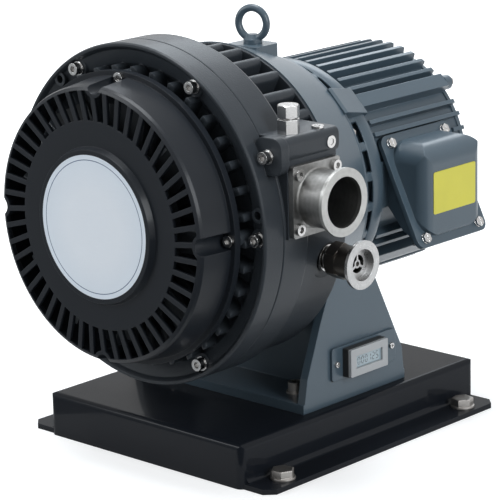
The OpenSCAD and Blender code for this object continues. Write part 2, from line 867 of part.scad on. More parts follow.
module rear_fixed_scroll() color(casting_grey) placed() {
    difference() {
        union() {
            turned([[0, seam_y], [casing_r - seam_groove, seam_y], [casing_r, seam_y + seam_groove],
                [casing_r, rear_flange_y - ring_edge],
                [casing_r - ring_edge / 4, rear_flange_y - ring_edge / 2],
                [casing_r - ring_edge, rear_flange_y], [0, rear_flange_y]]);
            disc(rear_body_r, rear_flange_y - over, rear_plate_back_y);
            span(rear_flange_y - over, drum_front_y - over) rear_fin_outline();
            span(drum_front_y - air_plate_t, drum_front_y) ring(rear_fin_in_r, drum_front_r - over);
            span(rear_flange_y - over, drum_front_y - air_plate_t) side_wall_outline();
            disc(rear_hub_r, rear_plate_back_y - over, rear_plate_back_y + hub_rise);
            crank_places() disc(crank_boss_r, rear_flange_y - over, fixed_bearing_end_y + wall_behind);
            port_block();
        }
        disc(chamber_r, seam_y - over, rear_plate_y);
        crank_places() disc(crank_pocket_r, seam_y - over, pocket_y);
        crank_places() disc(fixed_crank_bearing_r, pocket_y - over, fixed_bearing_end_y);
        disc(shaft_seal_r, rear_plate_y - over, rear_plate_y + seal_lip);
        disc(shaft_seal_r - 3 * over, rear_plate_y, rear_plate_back_y + hub_rise + over);
        translate([chamber_r - 2 * over, inlet_y, inlet_z]) rotate([0, 90, 0])
            cylinder(pad_x1 - chamber_r + 3 * over, r = inlet_bore_r + over);
        across(pad_x1 - inlet_seal_d, pad_x1 + over) translate([inlet_y, inlet_z])
            ring(inlet_seal_r0, inlet_seal_r1);
        translate([discharge_x, exhaust_y, exhaust_z]) rotate([0, 90, 0])
            cylinder(exhaust_boss_x - discharge_x + over, r = duct_r);
        translate([discharge_x + duct_r, rear_plate_y - over, exhaust_z]) rotate([-90, 0, 0])
            cylinder(exhaust_y - rear_plate_y + over, r = discharge_r);
        translate([exhaust_boss_x - nipple_thread_l, exhaust_y, exhaust_z]) rotate([0, 90, 0])
            cylinder(nipple_thread_l + over, r = nipple_thread_r);
        translate([exhaust_boss_x, exhaust_y, exhaust_z]) rotate([0, 90, 0])
            cylinder(casing_r - exhaust_boss_x, r = nipple_r + over);
        span(seam_y - over, seam_y + casing_thread_l) {
            bolt_places() circle(casing_bolt_r);
            translate([lug_x, lug_z]) circle(casing_bolt_r);
        }
        span(seam_y - over, seam_y + seal_section) casing_seal_outline();
        inlet_screw_places(pad_x1 - inlet_screw_l) cylinder(inlet_screw_l + over, r = inlet_screw_r);
        translate([vent_x, vent_y, bar_z1 - vent_thread_l]) cylinder(vent_thread_l + over, r = vent_thread_r);
        translate([plug_x, plug_y, bar_z1 - plug_l]) cylinder(plug_l + over, r = plug_r);
        translate([bar_x1 - block_screw_l, block_screw_y, block_screw_z]) rotate([0, 90, 0])
            cylinder(block_screw_l + over, r = casing_bolt_r);
    }
    wrap(rear_plate_y + over, rear_wrap_tip);
}
hub_rise = 8;
wall_behind = 2.5;
fixed_bearing_end_y = pocket_y + fixed_crank_bearing_w;
inlet_seal_r0 = 23.5;
inlet_seal_r1 = 26;
inlet_seal_d = 2;
casing_thread_l = 14;
vent_thread_l = 9;
vent_thread_r = 5;
plug_x = 136.8;
plug_y = -81;
plug_l = 7;
plug_r = 2.5;
block_screw_y = -76;
block_screw_z = 68;
block_screw_l = 12;
inlet_screw_l = 10;
inlet_screw_r = 2.5;

// The four screws of the inlet flange, from a place along X
module inlet_screw_places(x) {
    for (a = [-1, 1], b = [-1, 1])
        translate([x, inlet_y + a * inlet_screw_gap / 2, inlet_z + b * inlet_screw_gap / 2])
            rotate([0, 90, 0]) children();
}

// The orbiting scroll carries a wrap on each face and three ears for the guide cranks
module orbiting_scroll() color(bare_alloy) placed() translate([throw, 0, 0]) {
    difference() {
        union() {
            disc(orbit_plate_r, orbit_front_y, orbit_back_y);
            disc(orbit_hub_r, orbit_front_y - orbit_hub_out, orbit_back_y + orbit_hub_out);
            crank_places() disc(ear_r, orbit_front_y, orbit_back_y + ear_out);
        }
        disc(pin_bearing_r, orbit_mid_y - pin_bearing_half, orbit_back_y + orbit_hub_out + over);
        disc(pin_bearing_r - 2 * over, orbit_front_y - orbit_hub_out - over, orbit_mid_y);
        crank_places()
            disc(stub_bearing_r, orbit_back_y + ear_out - stub_bearing_w, orbit_back_y + ear_out + over);
        span(orbit_front_y - over, orbit_back_y + over) spread(4, corner_turn)
            translate([orbit_hub_r + transfer_r + over, 0]) circle(transfer_r);
    }
    rotate([0, 180, 0]) {
        wrap(orbit_front_y + over, seam_y + free_gap);
        wrap(orbit_back_y - over, rear_plate_y - free_gap);
    }
}
transfer_r = 2.5;

module seal_strip(y0, y1) { span(y0, y1) wrap_outline(seal_w, seal_trim); }

module fixed_tip_seals() color(ptfe) placed() {
    seal_strip(front_wrap_tip - seal_d, front_wrap_tip);
    seal_strip(rear_wrap_tip, rear_wrap_tip + seal_d);
}

module orbiting_tip_seals() color(ptfe) placed() translate([throw, 0, 0]) rotate([0, 180, 0]) {
    seal_strip(seam_y + free_gap, seam_y + free_gap + seal_d);
    seal_strip(rear_plate_y - free_gap - seal_d, rear_plate_y - free_gap);
}

module casing_seal_outline() {
    ring(seal_groove_r - seal_section / 2, seal_groove_r + seal_section / 2);
}

module casing_seal() color(seal_black) placed()
    span(seam_y, seam_y + seal_section) casing_seal_outline();

module casing_bolts() color(steel) placed() {
    for (i = [0:casing_bolt_count - 1]) rotate([0, -i * 360 / casing_bolt_count, 0])
        translate([casing_bolt_circle, front_rim_y + bolt_seat, 0])
            casing_bolt(front_rim_len - bolt_seat);
    translate([lug_x, front_rim_y + lug_seat, lug_z]) casing_bolt(front_rim_len - lug_seat);
}

// A screw with its washer, from its seat through a wall of a given depth into the rear casting
module casing_bolt(depth) {
    rotate([90, 0, 0]) {
        cylinder(casing_washer_t, r = casing_washer_r);
        translate([0, 0, casing_washer_t]) socket_screw(casing_bolt_r,
            casing_washer_t + depth + casing_thread_l - over, casing_head_r, casing_head_h);
    }
}
casing_washer_t = 1.2;
casing_washer_r = 6;
casing_head_r = 5;
casing_head_h = 6;

// Running gear

module crankshaft() color(bare_alloy) placed() {
    turned([[0, fan_end_y], [fan_seat_r, fan_end_y], [fan_seat_r, fan_back_y],
        [front_journal_r, fan_back_y], [front_journal_r, front_rim_y + front_bearing_w],
        [front_seal_shaft_r, front_rim_y + front_bearing_w], [front_seal_shaft_r, pin_front_y],
        [0, pin_front_y]]);
    translate([throw, 0, 0]) disc(pin_r, pin_front_y, pin_back_y);
    turned([[0, pin_back_y], [shaft_r, pin_back_y], [shaft_r, main_bearing_y],
        [main_journal_r, main_bearing_y], [main_journal_r, rear_bearing_y],
        [rear_journal_r, rear_bearing_y], [rear_journal_r, hub_rear_y],
        [coupling_bore_r, hub_rear_y], [coupling_bore_r, coupling_y + coupling_plate],
        [0, coupling_y + coupling_plate]]);
}
fan_seat_r = 8;
fan_end_y = cover_front_y + 13;
fan_back_y = fan_end_y + 24;
pin_front_y = orbit_mid_y - pin_bearing_half - over;
pin_back_y = orbit_back_y + orbit_hub_out + free_gap;

module front_bearing() color(steel) placed()
    bearing_y(front_journal_r + run_gap, front_bearing_r, front_bearing_w, front_rim_y);

module housing_bearings() color(steel) placed() {
    bearing_y(main_journal_r + run_gap, main_bearing_r, main_bearing_w, main_bearing_y);
    bearing_y(rear_journal_r + run_gap, rear_bearing_r, rear_bearing_w, rear_bearing_y);
}

module crank_pin_bearing() color(steel) placed() translate([throw, 0, 0])
    bearing_y(pin_r + run_gap, pin_bearing_r, 2 * pin_bearing_half, orbit_mid_y - pin_bearing_half);

module shaft_seals() color(seal_black) placed() {
    bearing_y(front_seal_shaft_r + run_gap, front_seal_r, seal_lip, seam_y - seal_lip);
    bearing_y(shaft_r + run_gap, shaft_seal_r, seal_lip, rear_plate_y);
}

// A weight is a half disc on a ring that sits on the shaft, opposite the crank pin
module weight(bore_r, r, y0, y1) {
    span(y0, y1) difference() {
        union() {
            circle(bore_r + weight_ring);
            intersection() {
                circle(r);
                translate([-2 * r, -r]) square([2 * r, 2 * r]);
            }
        }
        circle(bore_r);
    }
}
weight_ring = 8;
weight_r = 50;
front_weight_t = 6;
front_weight_r = 42;
rear_weight_y0 = exhaust_y + duct_r + duct_wall + free_gap;
rear_weight_y1 = drum_front_y - over;

module counterweights() color(steel) placed() {
    weight(front_journal_r, front_weight_r, fan_back_y, fan_back_y + front_weight_t);
    weight(shaft_r, weight_r, rear_weight_y0, rear_weight_y1);
}

// One guide crank: a stub in the orbiting ear, a disc, and a stub in the rear casting
module guide_crank(place) {
    a = crank_angles[place];
    rotate([0, -a, 0]) translate([crank_circle_r, 0, 0]) rotate([0, a, 0]) {
        disc(fixed_stub_r, crank_disc_y + crank_disc_t - over, fixed_bearing_end_y - over);
        disc(crank_disc_r, crank_disc_y, crank_disc_y + crank_disc_t);
        translate([throw, 0, 0])
            disc(stub_r, crank_disc_y - free_gap - stub_bearing_w + over, crank_disc_y + over);
    }
}
crank_disc_y = orbit_back_y + ear_out + free_gap;

module guide_crank_1() color(steel) placed() guide_crank(0);
module guide_crank_2() color(steel) placed() guide_crank(1);
module guide_crank_3() color(steel) placed() guide_crank(2);

module fixed_crank_bearings() color(bare_alloy) placed() crank_places()
    bearing_y(fixed_stub_r + run_gap, fixed_crank_bearing_r, fixed_crank_bearing_w, pocket_y);

module orbiting_crank_bearings() color(bare_alloy) placed() translate([throw, 0, 0]) crank_places()
    bearing_y(stub_r + run_gap, stub_bearing_r, stub_bearing_w, orbit_back_y + ear_out - stub_bearing_w);

// Fan and its cover

// A blade is a strip of a tube whose axis runs outwards, leaned back against the air
module fan_blade() {
    intersection() {
        translate([0, blade_mid_y, 0]) rotate([0, 90, 0]) rotate(blade_lean)
            translate([0, -blade_bend_r, fan_disc_r - 2 * over]) difference() {
                cylinder(fan_r, r = blade_bend_r + blade_t / 2);
                translate([0, 0, -over]) cylinder(fan_r + 2 * over, r = blade_bend_r - blade_t / 2);
            }
        difference() {
            disc(fan_r, fan_front_y, fan_rear_y);
            disc(fan_disc_r - over, fan_front_y - over, fan_rear_y + over);
        }
        translate([fan_r / 2, blade_mid_y, 0]) cube([fan_r, fan_depth, 2 * blade_reach], center = true);
    }
}
fan_r = 100;
fan_disc_r = 64;
fan_depth = 20;
fan_hub_r = 18;
fan_disc_t = 3;
fan_front_y = cover_front_y + 15;
fan_rear_y = fan_front_y + fan_depth;
blade_mid_y = (fan_front_y + fan_rear_y) / 2;
blade_bend_r = 40;
blade_t = 2.4;
blade_lean = 35;
blade_reach = 16;
blade_count = 9;

module cooling_fan() color([0.30, 0.34, 0.38]) placed() {
    difference() {
        union() {
            disc(fan_disc_r, blade_mid_y, blade_mid_y + fan_disc_t);
            span(fan_front_y + 2 * over, fan_rear_y) ring(fan_disc_r - fan_disc_t, fan_disc_r);
            disc(fan_hub_r, fan_end_y + over, fan_rear_y);
        }
        disc(fan_seat_r, fan_end_y - over, fan_rear_y + over);
    }
    for (i = [0:blade_count - 1]) rotate([0, i * 360 / blade_count, 0]) fan_blade();
}

module fan_bolt() color(steel) placed() translate([0, fan_end_y, 0]) rotate([90, 0, 0]) {
    cylinder(fan_washer_t, r = fan_head_af);
    translate([0, 0, fan_washer_t]) linear_extrude(fan_head_h) hexagon(fan_head_af);
}
fan_washer_t = 1.6;
fan_head_h = 5.3;
fan_head_af = 13;

// The cover's outside as radius and place, and the same drawn in by the wall
cover_wall_t = 3;
cover_edge_r = 4;
cover_edge_in = 1.2;
disc_r = 63;
disc_slope = 2;

module cover_profile(inset) {
    back = cover_back_y + (inset > 0 ? over : 0);
    side = cover_screw_circle + over - inset;
    polygon([[0, back], [0, cover_front_y + inset], [disc_r - inset, cover_front_y + inset],
        [disc_r + disc_slope - inset, cover_face_y + inset], [cover_r - cover_edge_r, cover_face_y + inset],
        [cover_r - inset - cover_edge_in, cover_face_y + cover_edge_in + inset],
        [cover_r - inset, cover_face_y + cover_edge_r + inset / 2], [side, cover_ring_y], [side, back]]);
}

// Air slots between two circles, parted by skewed bars and kept clear of the screw channels
slot_skew = 8;
channel_r = 7.4;
channel_place_r = 115;

module slots_outline() {
    difference() {
        ring(slot_in_r, slot_out_r);
        spread(slot_count) translate([(slot_in_r + slot_out_r) / 2, 0]) rotate(slot_skew)
            square([2 * (slot_out_r - slot_in_r), slot_bar_w], center = true);
        spread(4) translate([channel_place_r, 0]) circle(channel_r + cover_wall_t);
    }
}

module fan_cover() color(cover_black) placed() difference() {
    union() {
        difference() {
            union() {
                rotate([-90, 0, 0]) rotate_extrude() cover_profile(0);
                span(cover_ring_y, cover_back_y) circle(cover_ring_r);
            }
            rotate([-90, 0, 0]) rotate_extrude() cover_profile(cover_wall_t);
        }
        intersection() {
            rotate([-90, 0, 0]) rotate_extrude() cover_profile(over / 2);
            span(cover_face_y + over, cover_back_y) spread(4)
                translate([channel_place_r, 0]) circle(channel_r + cover_wall_t);
        }
    }
    span(cover_front_y - over, cover_face_y + cover_wall_t + over) slots_outline();
    span(cover_front_y, cover_ring_y) spread(4) translate([channel_place_r, 0]) circle(channel_r);
    span(cover_ring_y - over, cover_back_y + over) spread(4)
        translate([cover_screw_circle, 0]) circle(cover_screw_r + free_gap);
    disc(label_r + run_gap, cover_front_y - over, cover_front_y + label_t);
}
label_t = 0.8;

module fan_cover_screws() color(steel) placed()
    for (i = [0:3]) rotate([0, i * 90, 0]) translate([cover_screw_circle, cover_ring_y, 0])
        rotate([90, 0, 0])
            socket_screw(cover_screw_r, cover_ring_t + cover_thread_l, cover_head_r, cover_head_h);
cover_thread_l = 10;
cover_head_r = 4.8;
cover_head_h = 3.4;

module label_plate() color([0.83, 0.86, 0.90]) placed()
    disc(label_r, cover_front_y, cover_front_y + label_t);

// Ports

module inlet_port() color(bare_alloy) placed() {
    plate_x1 = pad_x1 + inlet_plate_t;
    rim_x0 = inlet_reach - inlet_rim_t;
    difference() {
        union() {
            across(pad_x1, plate_x1) translate([inlet_y, inlet_z])
                rounded(inlet_plate_w, inlet_plate_h, inlet_plate_t / 2);
            turned_x(inlet_y, inlet_z, [[0, pad_x1], [inlet_tube_r + over, pad_x1],
                [inlet_tube_r + over, plate_x1], [inlet_tube_r, plate_x1 + over],
                [inlet_tube_r, rim_x0 - over], [inlet_rim_r, rim_x0],
                [inlet_rim_r, inlet_reach], [0, inlet_reach]]);
        }
        translate([pad_x1 - over, inlet_y, inlet_z]) rotate([0, 90, 0])
            cylinder(inlet_reach - pad_x1 + 2 * over, r = inlet_bore_r);
        inlet_screw_places(pad_x1 - over) cylinder(inlet_plate_t + 2 * over, r = inlet_screw_r + free_gap);
    }
}

module inlet_screws() color(steel) placed() inlet_screw_places(pad_x1 + inlet_plate_t)
    socket_screw(inlet_screw_r, inlet_plate_t + inlet_screw_l - over, inlet_head_r, inlet_head_h);
inlet_head_r = 4.7;
inlet_head_h = 3;

module inlet_seal() color(seal_black) placed()
    across(pad_x1 - inlet_seal_d, pad_x1) translate([inlet_y, inlet_z])
        ring(inlet_seal_r0, inlet_seal_r1);

module exhaust_nipple() color(steel) placed() {
    x0 = exhaust_boss_x - nipple_thread_l + over;
    middle = exhaust_boss_x + nipple_len / 2;
    turned_x(exhaust_y, exhaust_z, [[duct_r - over, x0], [nipple_thread_r, x0],
        [nipple_thread_r, exhaust_boss_x], [nipple_r - over, exhaust_boss_x],
        [nipple_r, exhaust_boss_x + over], [nipple_r, middle], [nipple_r - 2 * over, middle + over],
        [nipple_r - 2 * over, nipple_x1], [duct_r - over, nipple_x1]]);
}

// The valve body is round, with a hexagon for a spanner at its inner end
module exhaust_valve_body() color(bronze) placed() difference() {
    union() {
        turned_x(exhaust_y, exhaust_z, [[0, nipple_x1 + valve_hex_len - over],
            [valve_body_r, nipple_x1 + valve_hex_len - over], [valve_body_r, valve_body_x1 - over],
            [valve_body_r - over, valve_body_x1], [0, valve_body_x1]]);
        intersection() {
            across(nipple_x1, nipple_x1 + valve_hex_len) translate([exhaust_y, exhaust_z])
                rotate(90) hexagon(valve_hex_af);
            turned_x(exhaust_y, exhaust_z, [[0, nipple_x1], [valve_hex_af / 2, nipple_x1],
                [valve_hex_af / 2 + 2 * over, nipple_x1 + 2 * over],
                [valve_hex_af / 2 + 2 * over, nipple_x1 + valve_hex_len], [0, nipple_x1 + valve_hex_len]]);
        }
    }
    turned_x(exhaust_y, exhaust_z, [[0, nipple_x1 - over], [duct_r - over, nipple_x1 - over],
        [duct_r - over, nipple_x1 + valve_seat_t], [valve_body_r - chamber_wall, nipple_x1 + valve_seat_t],
        [valve_body_r - chamber_wall, valve_body_x1 + over], [0, valve_body_x1 + over]]);
}

// The small flange ends in a web whose spider guides the stem of the valve
module exhaust_port() color(bare_alloy) placed() {
    web_x0 = exhaust_reach - exhaust_counter - spider_t;
    web_x1 = exhaust_reach - exhaust_counter;
    turned_x(exhaust_y, exhaust_z, [[exhaust_inner_r, web_x0], [valve_body_r - chamber_wall, web_x0],
        [valve_body_r - chamber_wall, valve_body_x1], [valve_body_r + over, valve_body_x1],
        [exhaust_rim_r, exhaust_reach - exhaust_rim_t], [exhaust_rim_r, exhaust_reach],
        [exhaust_bore_r, exhaust_reach], [exhaust_bore_r, web_x1], [exhaust_inner_r, web_x1]]);
    difference() {
        across(web_x0, web_x1) translate([exhaust_y, exhaust_z]) {
            circle(spider_hub_r);
            spread(3, 90) translate([0, -spider_arm_t / 2])
                square([exhaust_inner_r + over / 2, spider_arm_t]);
        }
        across(web_x0 - over, web_x1 + over) translate([exhaust_y, exhaust_z])
            circle(poppet_stem_r + run_gap);
    }
}

module valve_poppet() color(bronze) placed()
    turned_x(exhaust_y, exhaust_z, [[0, poppet_x], [poppet_r, poppet_x], [poppet_r, poppet_x + poppet_t],
        [poppet_stem_r, poppet_x + poppet_t], [poppet_stem_r, poppet_x + poppet_t + stem_l],
        [0, poppet_x + poppet_t + stem_l]]);
poppet_x = nipple_x1 + valve_seat_t + free_gap / 4;
stem_l = exhaust_reach - exhaust_counter - poppet_x - poppet_t - valve_travel + over;

// The spring is one wire that winds from the poppet to the spider
spring_sides = 6;
spring_steps = 12;
spring_x0 = poppet_x + poppet_t + spring_wire_r + run_gap;
spring_x1 = exhaust_reach - exhaust_counter - spider_t - spring_wire_r - run_gap;
spring_rings = spring_turns * spring_steps;
function spring_ring(i) = [for (s = [0:spring_sides - 1])
    let (a = i * 360 / spring_steps, b = s * 360 / spring_sides, r = spring_r + spring_wire_r * cos(b))
        [spring_x0 + (spring_x1 - spring_x0) * i / spring_rings + spring_wire_r * sin(b),
            r * cos(a), r * sin(a)]];

// The least gap of the wire to itself, measured on the middles of its rings half a turn apart or more
spring_mids = [for (i = [0:spring_rings]) let (g = spring_ring(i)) (g[0] + g[spring_sides / 2]) / 2];
spring_gap = min([for (i = [0:spring_rings], j = [i + spring_steps / 2:spring_rings])
    norm(spring_mids[i] - spring_mids[j])]) - 2 * spring_wire_r;
echo("least gap of the spring to itself in mm", spring_gap);

module valve_spring() color(steel) placed() translate([0, exhaust_y, exhaust_z]) polyhedron(
    points = [for (i = [0:spring_rings]) each spring_ring(i)],
    faces = concat(
        [[for (s = [0:spring_sides - 1]) s]],
        [[for (s = [spring_sides - 1:-1:0]) spring_rings * spring_sides + s]],
        [for (i = [0:spring_rings - 1], s = [0:spring_sides - 1], half = [0, 1])
            let (a = i * spring_sides + s, b = i * spring_sides + (s + 1) % spring_sides,
                c = a + spring_sides, d = b + spring_sides)
            half == 0 ? [a, c, b] : [b, c, d]]));

module vent_fitting() color(steel) placed() translate([vent_x, vent_y, bar_z1]) {
    linear_extrude(vent_nut_h) hexagon(vent_hex_af);
    translate([0, 0, -vent_thread_l + over]) cylinder(vent_thread_l, r = vent_thread_r);
    translate([0, 0, vent_nut_h]) cylinder(vent_neck, r = vent_thread_r);
}

module vent_cap() color(steel) placed() translate([vent_x, vent_y, bar_z1 + vent_nut_h + vent_neck])
    intersection() {
        linear_extrude(vent_cap_h) hexagon(vent_hex_af);
        rotate_extrude() polygon([[0, 0], [vent_hex_af / 2, 0], [vent_hex_af / 2 + vent_edge, vent_edge],
            [vent_hex_af / 2 + vent_edge, vent_cap_h - vent_edge], [vent_hex_af / 2, vent_cap_h],
            [0, vent_cap_h]]);
    }

module port_block_screws() color(steel) placed() {
    translate([bar_x1, block_screw_y, block_screw_z]) rotate([0, 90, 0])
        socket_screw(casing_bolt_r, block_screw_l - over, casing_head_r, over);
    translate([plug_x, plug_y, bar_z1]) socket_screw(plug_r, plug_l - over, 2 * plug_r, 2 * over);
}

// Motor bracket and coupling

// An ear in radius and place along the axis, that tapers to the motor's pad
module bracket_ear() {
    rotate([0, corner_turn, 0]) translate([0, 0, -ear_w / 2]) linear_extrude(ear_w)
        polygon([[lantern_r - lantern_wall / 2, drum_rear_y], [ear_reach, drum_rear_y],
            [ear_reach, drum_rear_y + bracket_front_t], [motor_pad_r, frame_y],
            [lantern_r - lantern_wall / 2, frame_y]]);
}

// A claw is the narrow rib between two windows, from the drum's rim down to the lantern
module bracket_claw() {
    translate([0, 0, -claw_t / 2]) linear_extrude(claw_t)
        polygon([[lantern_r - lantern_wall / 2, drum_rear_y + over], [bracket_r - over, drum_rear_y + over],
            [bracket_r - over, drum_rear_y + 2 * over], [lantern_r + over, drum_rear_y + window_len],
            [lantern_r - lantern_wall / 2, drum_rear_y + window_len + lantern_wall]]);
}

module motor_bracket() color(housing_grey) placed() difference() {
    union() {
        disc(bracket_r, drum_rear_y, drum_rear_y + bracket_front_t);
        disc(lantern_r, drum_rear_y, frame_y);
        for (i = [0:3]) rotate([0, i * 90, 0]) bracket_ear();
        for (i = [0:window_count - 1]) rotate([0, (i + 0.5) * 360 / window_count, 0]) bracket_claw();
    }
    disc(lantern_r - lantern_wall, drum_rear_y - over, frame_y - bracket_rear_t);
    disc(motor_bearing_r, frame_y - bracket_rear_t + 2 * over, frame_y + over);
    disc(motor_bearing_r - 4 * over, frame_y - bracket_rear_t - over, frame_y);
    for (i = [0:3], j = [-2:2]) rotate([0, i * 90 + j * 360 / window_count, 0])
        translate([0, drum_rear_y + bracket_front_t + over / 2, 0]) window_cut();
    span(drum_rear_y - over, drum_rear_y + bracket_front_t + over)
        spread(bracket_bolt_count, bracket_bolt_turn)
            translate([bracket_bolt_circle, 0]) circle(bracket_thread_r + free_gap);
}

module bracket_screws() color(steel) placed()
    for (i = [0:bracket_bolt_count - 1]) rotate([0, bracket_bolt_turn + i * 360 / bracket_bolt_count, 0])
        translate([bracket_bolt_circle, drum_rear_y + bracket_front_t, 0]) rotate([-90, 0, 0])
            hex_screw(bracket_thread_r, bracket_front_t + rim_t, bracket_bolt_af, bracket_bolt_head_h);
bracket_bolt_af = 10;

module window_cut() {
    w = 2 * lantern_r * sin(window_turn / 2);
    translate([lantern_r - lantern_wall - over, 0, -w / 2])
        cube([lantern_wall + bracket_r, window_len - bracket_front_t, w]);
}

module jaw_wedge() {
    half = 2 * coupling_r * tan(jaw_turn / 2);
    polygon([[0, 0], [2 * coupling_r, -half], [2 * coupling_r, half]]);
}

module jaws(turn) {
    spread(jaw_count, turn) intersection() {
        ring(coupling_bore_r + 2 * over, coupling_r - over / 2);
        jaw_wedge();
    }
}

module pump_coupling_hub() color(steel) placed() {
    span(coupling_y, coupling_y + coupling_plate) ring(coupling_bore_r, coupling_r);
    span(coupling_y + coupling_plate - over / 2, coupling_y + coupling_plate + jaw_len) jaws(0);
}

module motor_coupling_hub() color(steel) placed() {
    y1 = coupling_y + 2 * coupling_plate + jaw_len;
    span(y1 - coupling_plate, y1) ring(motor_shaft_r, coupling_r);
    span(y1 - coupling_plate - jaw_len, y1 - coupling_plate + over / 2) jaws(180 / jaw_count);
}

module coupling_spider() color([0.75, 0.25, 0.15]) placed()
    span(coupling_y + coupling_plate, coupling_y + coupling_plate + jaw_len) difference() {
        ring(coupling_bore_r + 2 * over, coupling_r - over);
        spread(2 * jaw_count) jaw_wedge();
    }

// Motor

// A fin in radius and place along the axis, with a round corner at its far end
module motor_fin_outline() {
    root_r = frame_r - frame_wall / 2;
    r = fin_corner_r;
    translate([root_r, frame_y]) square([motor_fin_r - root_r, frame_len - r]);
    translate([root_r, frame_y]) square([motor_fin_r - root_r - r, frame_len]);
    translate([motor_fin_r - r, frame_end_y - r]) circle(r);
}

// Where the fins stand: eleven above and below, a full set on the left, two pairs on the right
// and a short pair behind the terminal box
top_fins = [for (i = [-5:5]) 90 + i * motor_fin_turn];
left_fins = [for (i = [-4:4]) 180 + i * motor_fin_turn];
right_fin_angles = [26.6, 33.2];
short_fin_angle = 19;
fin_corner_r = 2.5;

module motor_fins(angles) {
    for (a = angles) rotate([0, -a, 0])
        translate([0, 0, -motor_fin_t / 2]) linear_extrude(motor_fin_t) motor_fin_outline();
}

module corner_pads(r, w, y0, y1) {
    for (i = [0:3]) rotate([0, corner_turn + i * 90, 0]) translate([frame_r - frame_wall / 2, y0, -w / 2])
        cube([r - frame_r + frame_wall / 2, y1 - y0, w]);
}

module motor_frame() color(housing_grey) placed() difference() {
    union() {
        disc(frame_r, frame_y, frame_end_y);
        motor_fins(concat(top_fins, -top_fins, left_fins, right_fin_angles, -right_fin_angles));
        intersection() {
            motor_fins([-short_fin_angle, short_fin_angle]);
            disc(motor_fin_r + over, box_y + box_flange_w / 2 + over, frame_end_y + over);
        }
        corner_pads(motor_pad_r, motor_pad_w, frame_y, frame_end_y);
        translate([frame_r / 2, frame_y, -side_pad_half])
            cube([side_pad_x - frame_r / 2, frame_len, 2 * side_pad_half]);
    }
    disc(frame_r - frame_wall, frame_y - over, frame_end_y + over);
    span(frame_y - over, frame_end_y + over) spread(4, corner_turn)
        translate([tie_circle, 0]) circle(tie_r + free_gap);
    translate([0, box_y, wire_hole_z]) rotate([0, 90, 0]) cylinder(side_pad_x + over, r = wire_hole_r);
    box_screw_places(-gasket_t) translate([0, 0, -box_boss_l + over]) cylinder(box_boss_l, r = box_screw_r);
}

module motor_rear_cover() color(housing_grey) placed() difference() {
    union() {
        turned([[0, frame_end_y], [rear_cover_r, frame_end_y], [rear_cover_r, frame_end_y + rear_cover_t / 2],
            [rear_cover_r - rear_cover_t / 2, frame_end_y + rear_cover_t - 2 * over],
            [rotor_r, frame_end_y + rear_cover_t], [0, frame_end_y + rear_cover_t]]);
        span(frame_end_y, frame_end_y + rear_cover_t) spread(4, corner_turn)
            translate([tie_circle, 0]) circle(motor_pad_w / 2);
        disc(motor_bearing_r + frame_wall / 2, frame_end_y - motor_bearing_w - over, frame_end_y + over);
        disc(frame_r - frame_wall - run_gap, frame_end_y - over, frame_end_y + over);
    }
    disc(motor_bearing_r, frame_end_y - motor_bearing_w - 2 * over, frame_end_y);
    span(frame_end_y - over, frame_end_y + rear_cover_t + over) spread(4, corner_turn)
        translate([tie_circle, 0]) circle(tie_r + free_gap);
}

module stator() color(copper) placed() {
    core_y0 = frame_y + stator_margin;
    core_y1 = frame_end_y - stator_margin;
    span(core_y0, core_y1) ring(stator_in_r, frame_r - frame_wall);
    for (y = [core_y0 - winding_l, core_y1]) span(y, y + winding_l) ring(stator_in_r + 2 * over, winding_r);
}
winding_l = 12;

module rotor() color(steel) placed() {
    y0 = frame_y + stator_margin - winding_l / 2;
    y1 = frame_end_y - stator_margin + winding_l / 2;
    turned([[0, motor_shaft_y], [motor_shaft_r, motor_shaft_y], [motor_shaft_r, y0], [rotor_r, y0],
        [rotor_r, y1], [motor_shaft_r, y1], [motor_shaft_r, frame_end_y - over], [0, frame_end_y - over]]);
}
motor_shaft_y = coupling_y + coupling_plate + jaw_len;

module motor_bearings() color(steel) placed() {
    r = motor_shaft_r + run_gap;
    bearing_y(r, motor_bearing_r, bracket_rear_t - 2 * over, frame_y - bracket_rear_t + 2 * over);
    bearing_y(r, motor_bearing_r, motor_bearing_w, frame_end_y - motor_bearing_w);
}

module tie_bolts() color(steel) placed()
    for (i = [0:3]) rotate([0, corner_turn + i * 90, 0])
        translate([tie_circle, frame_end_y + rear_cover_t, 0]) rotate([-90, 0, 0])
            hex_screw(tie_r, frame_len + rear_cover_t, tie_head_af, tie_head_h);
tie_head_af = 8;

// Terminal box, drawn from the sloping joint plane of its cover

// Turns a piece drawn on the joint plane to its slope: X runs down it and Z out of it
module on_slope(out = 0) {
    x = box_top_x + box_flange_h / 2 * sin(box_tilt);
    z = box_top_z - box_flange_h / 2 * cos(box_tilt);
    translate([x, box_y, z]) rotate([0, 90 - box_tilt, 0]) translate([0, 0, out - box_cover_t]) children();
}

module box_outline() { rounded(box_flange_h, box_flange_w, 2 * box_cover_t); }

module box_body_outline(inset) {
    rounded(box_flange_h - 2 * box_cover_t - 2 * inset, 2 * box_half_w - 2 * inset, 2 * box_cover_t);
}

// The part of the box body outside the motor's side pad, as an outline in X and Z
module box_side(inset) {
    x0 = side_pad_x + inset;
    back_x = inset > 0 ? x0 : frame_r - frame_wall;
    polygon([[back_x, box_top_z * 2], [back_x, -side_pad_half + inset], [x0, -side_pad_half + inset],
        [x0 + box_foot_run, box_low_z + inset], [2 * side_pad_x, box_low_z * 2 + inset],
        [2 * side_pad_x, box_top_z * 2]]);
}
box_foot_run = 16;

module box_body_solid(inset) {
    intersection() {
        span(box_y - box_half_w + inset, box_y + box_half_w - inset) box_side(inset);
        on_slope(-gasket_t) translate([0, 0, -side_pad_x]) linear_extrude(side_pad_x + (inset > 0 ? over : 0))
            box_body_outline(inset);
    }
}

module box_screw_places(out) {
    on_slope(out) for (a = [-1, 1], b = [-1, 1])
        translate([a * box_screw_h / 2, b * box_screw_w / 2, 0]) children();
}

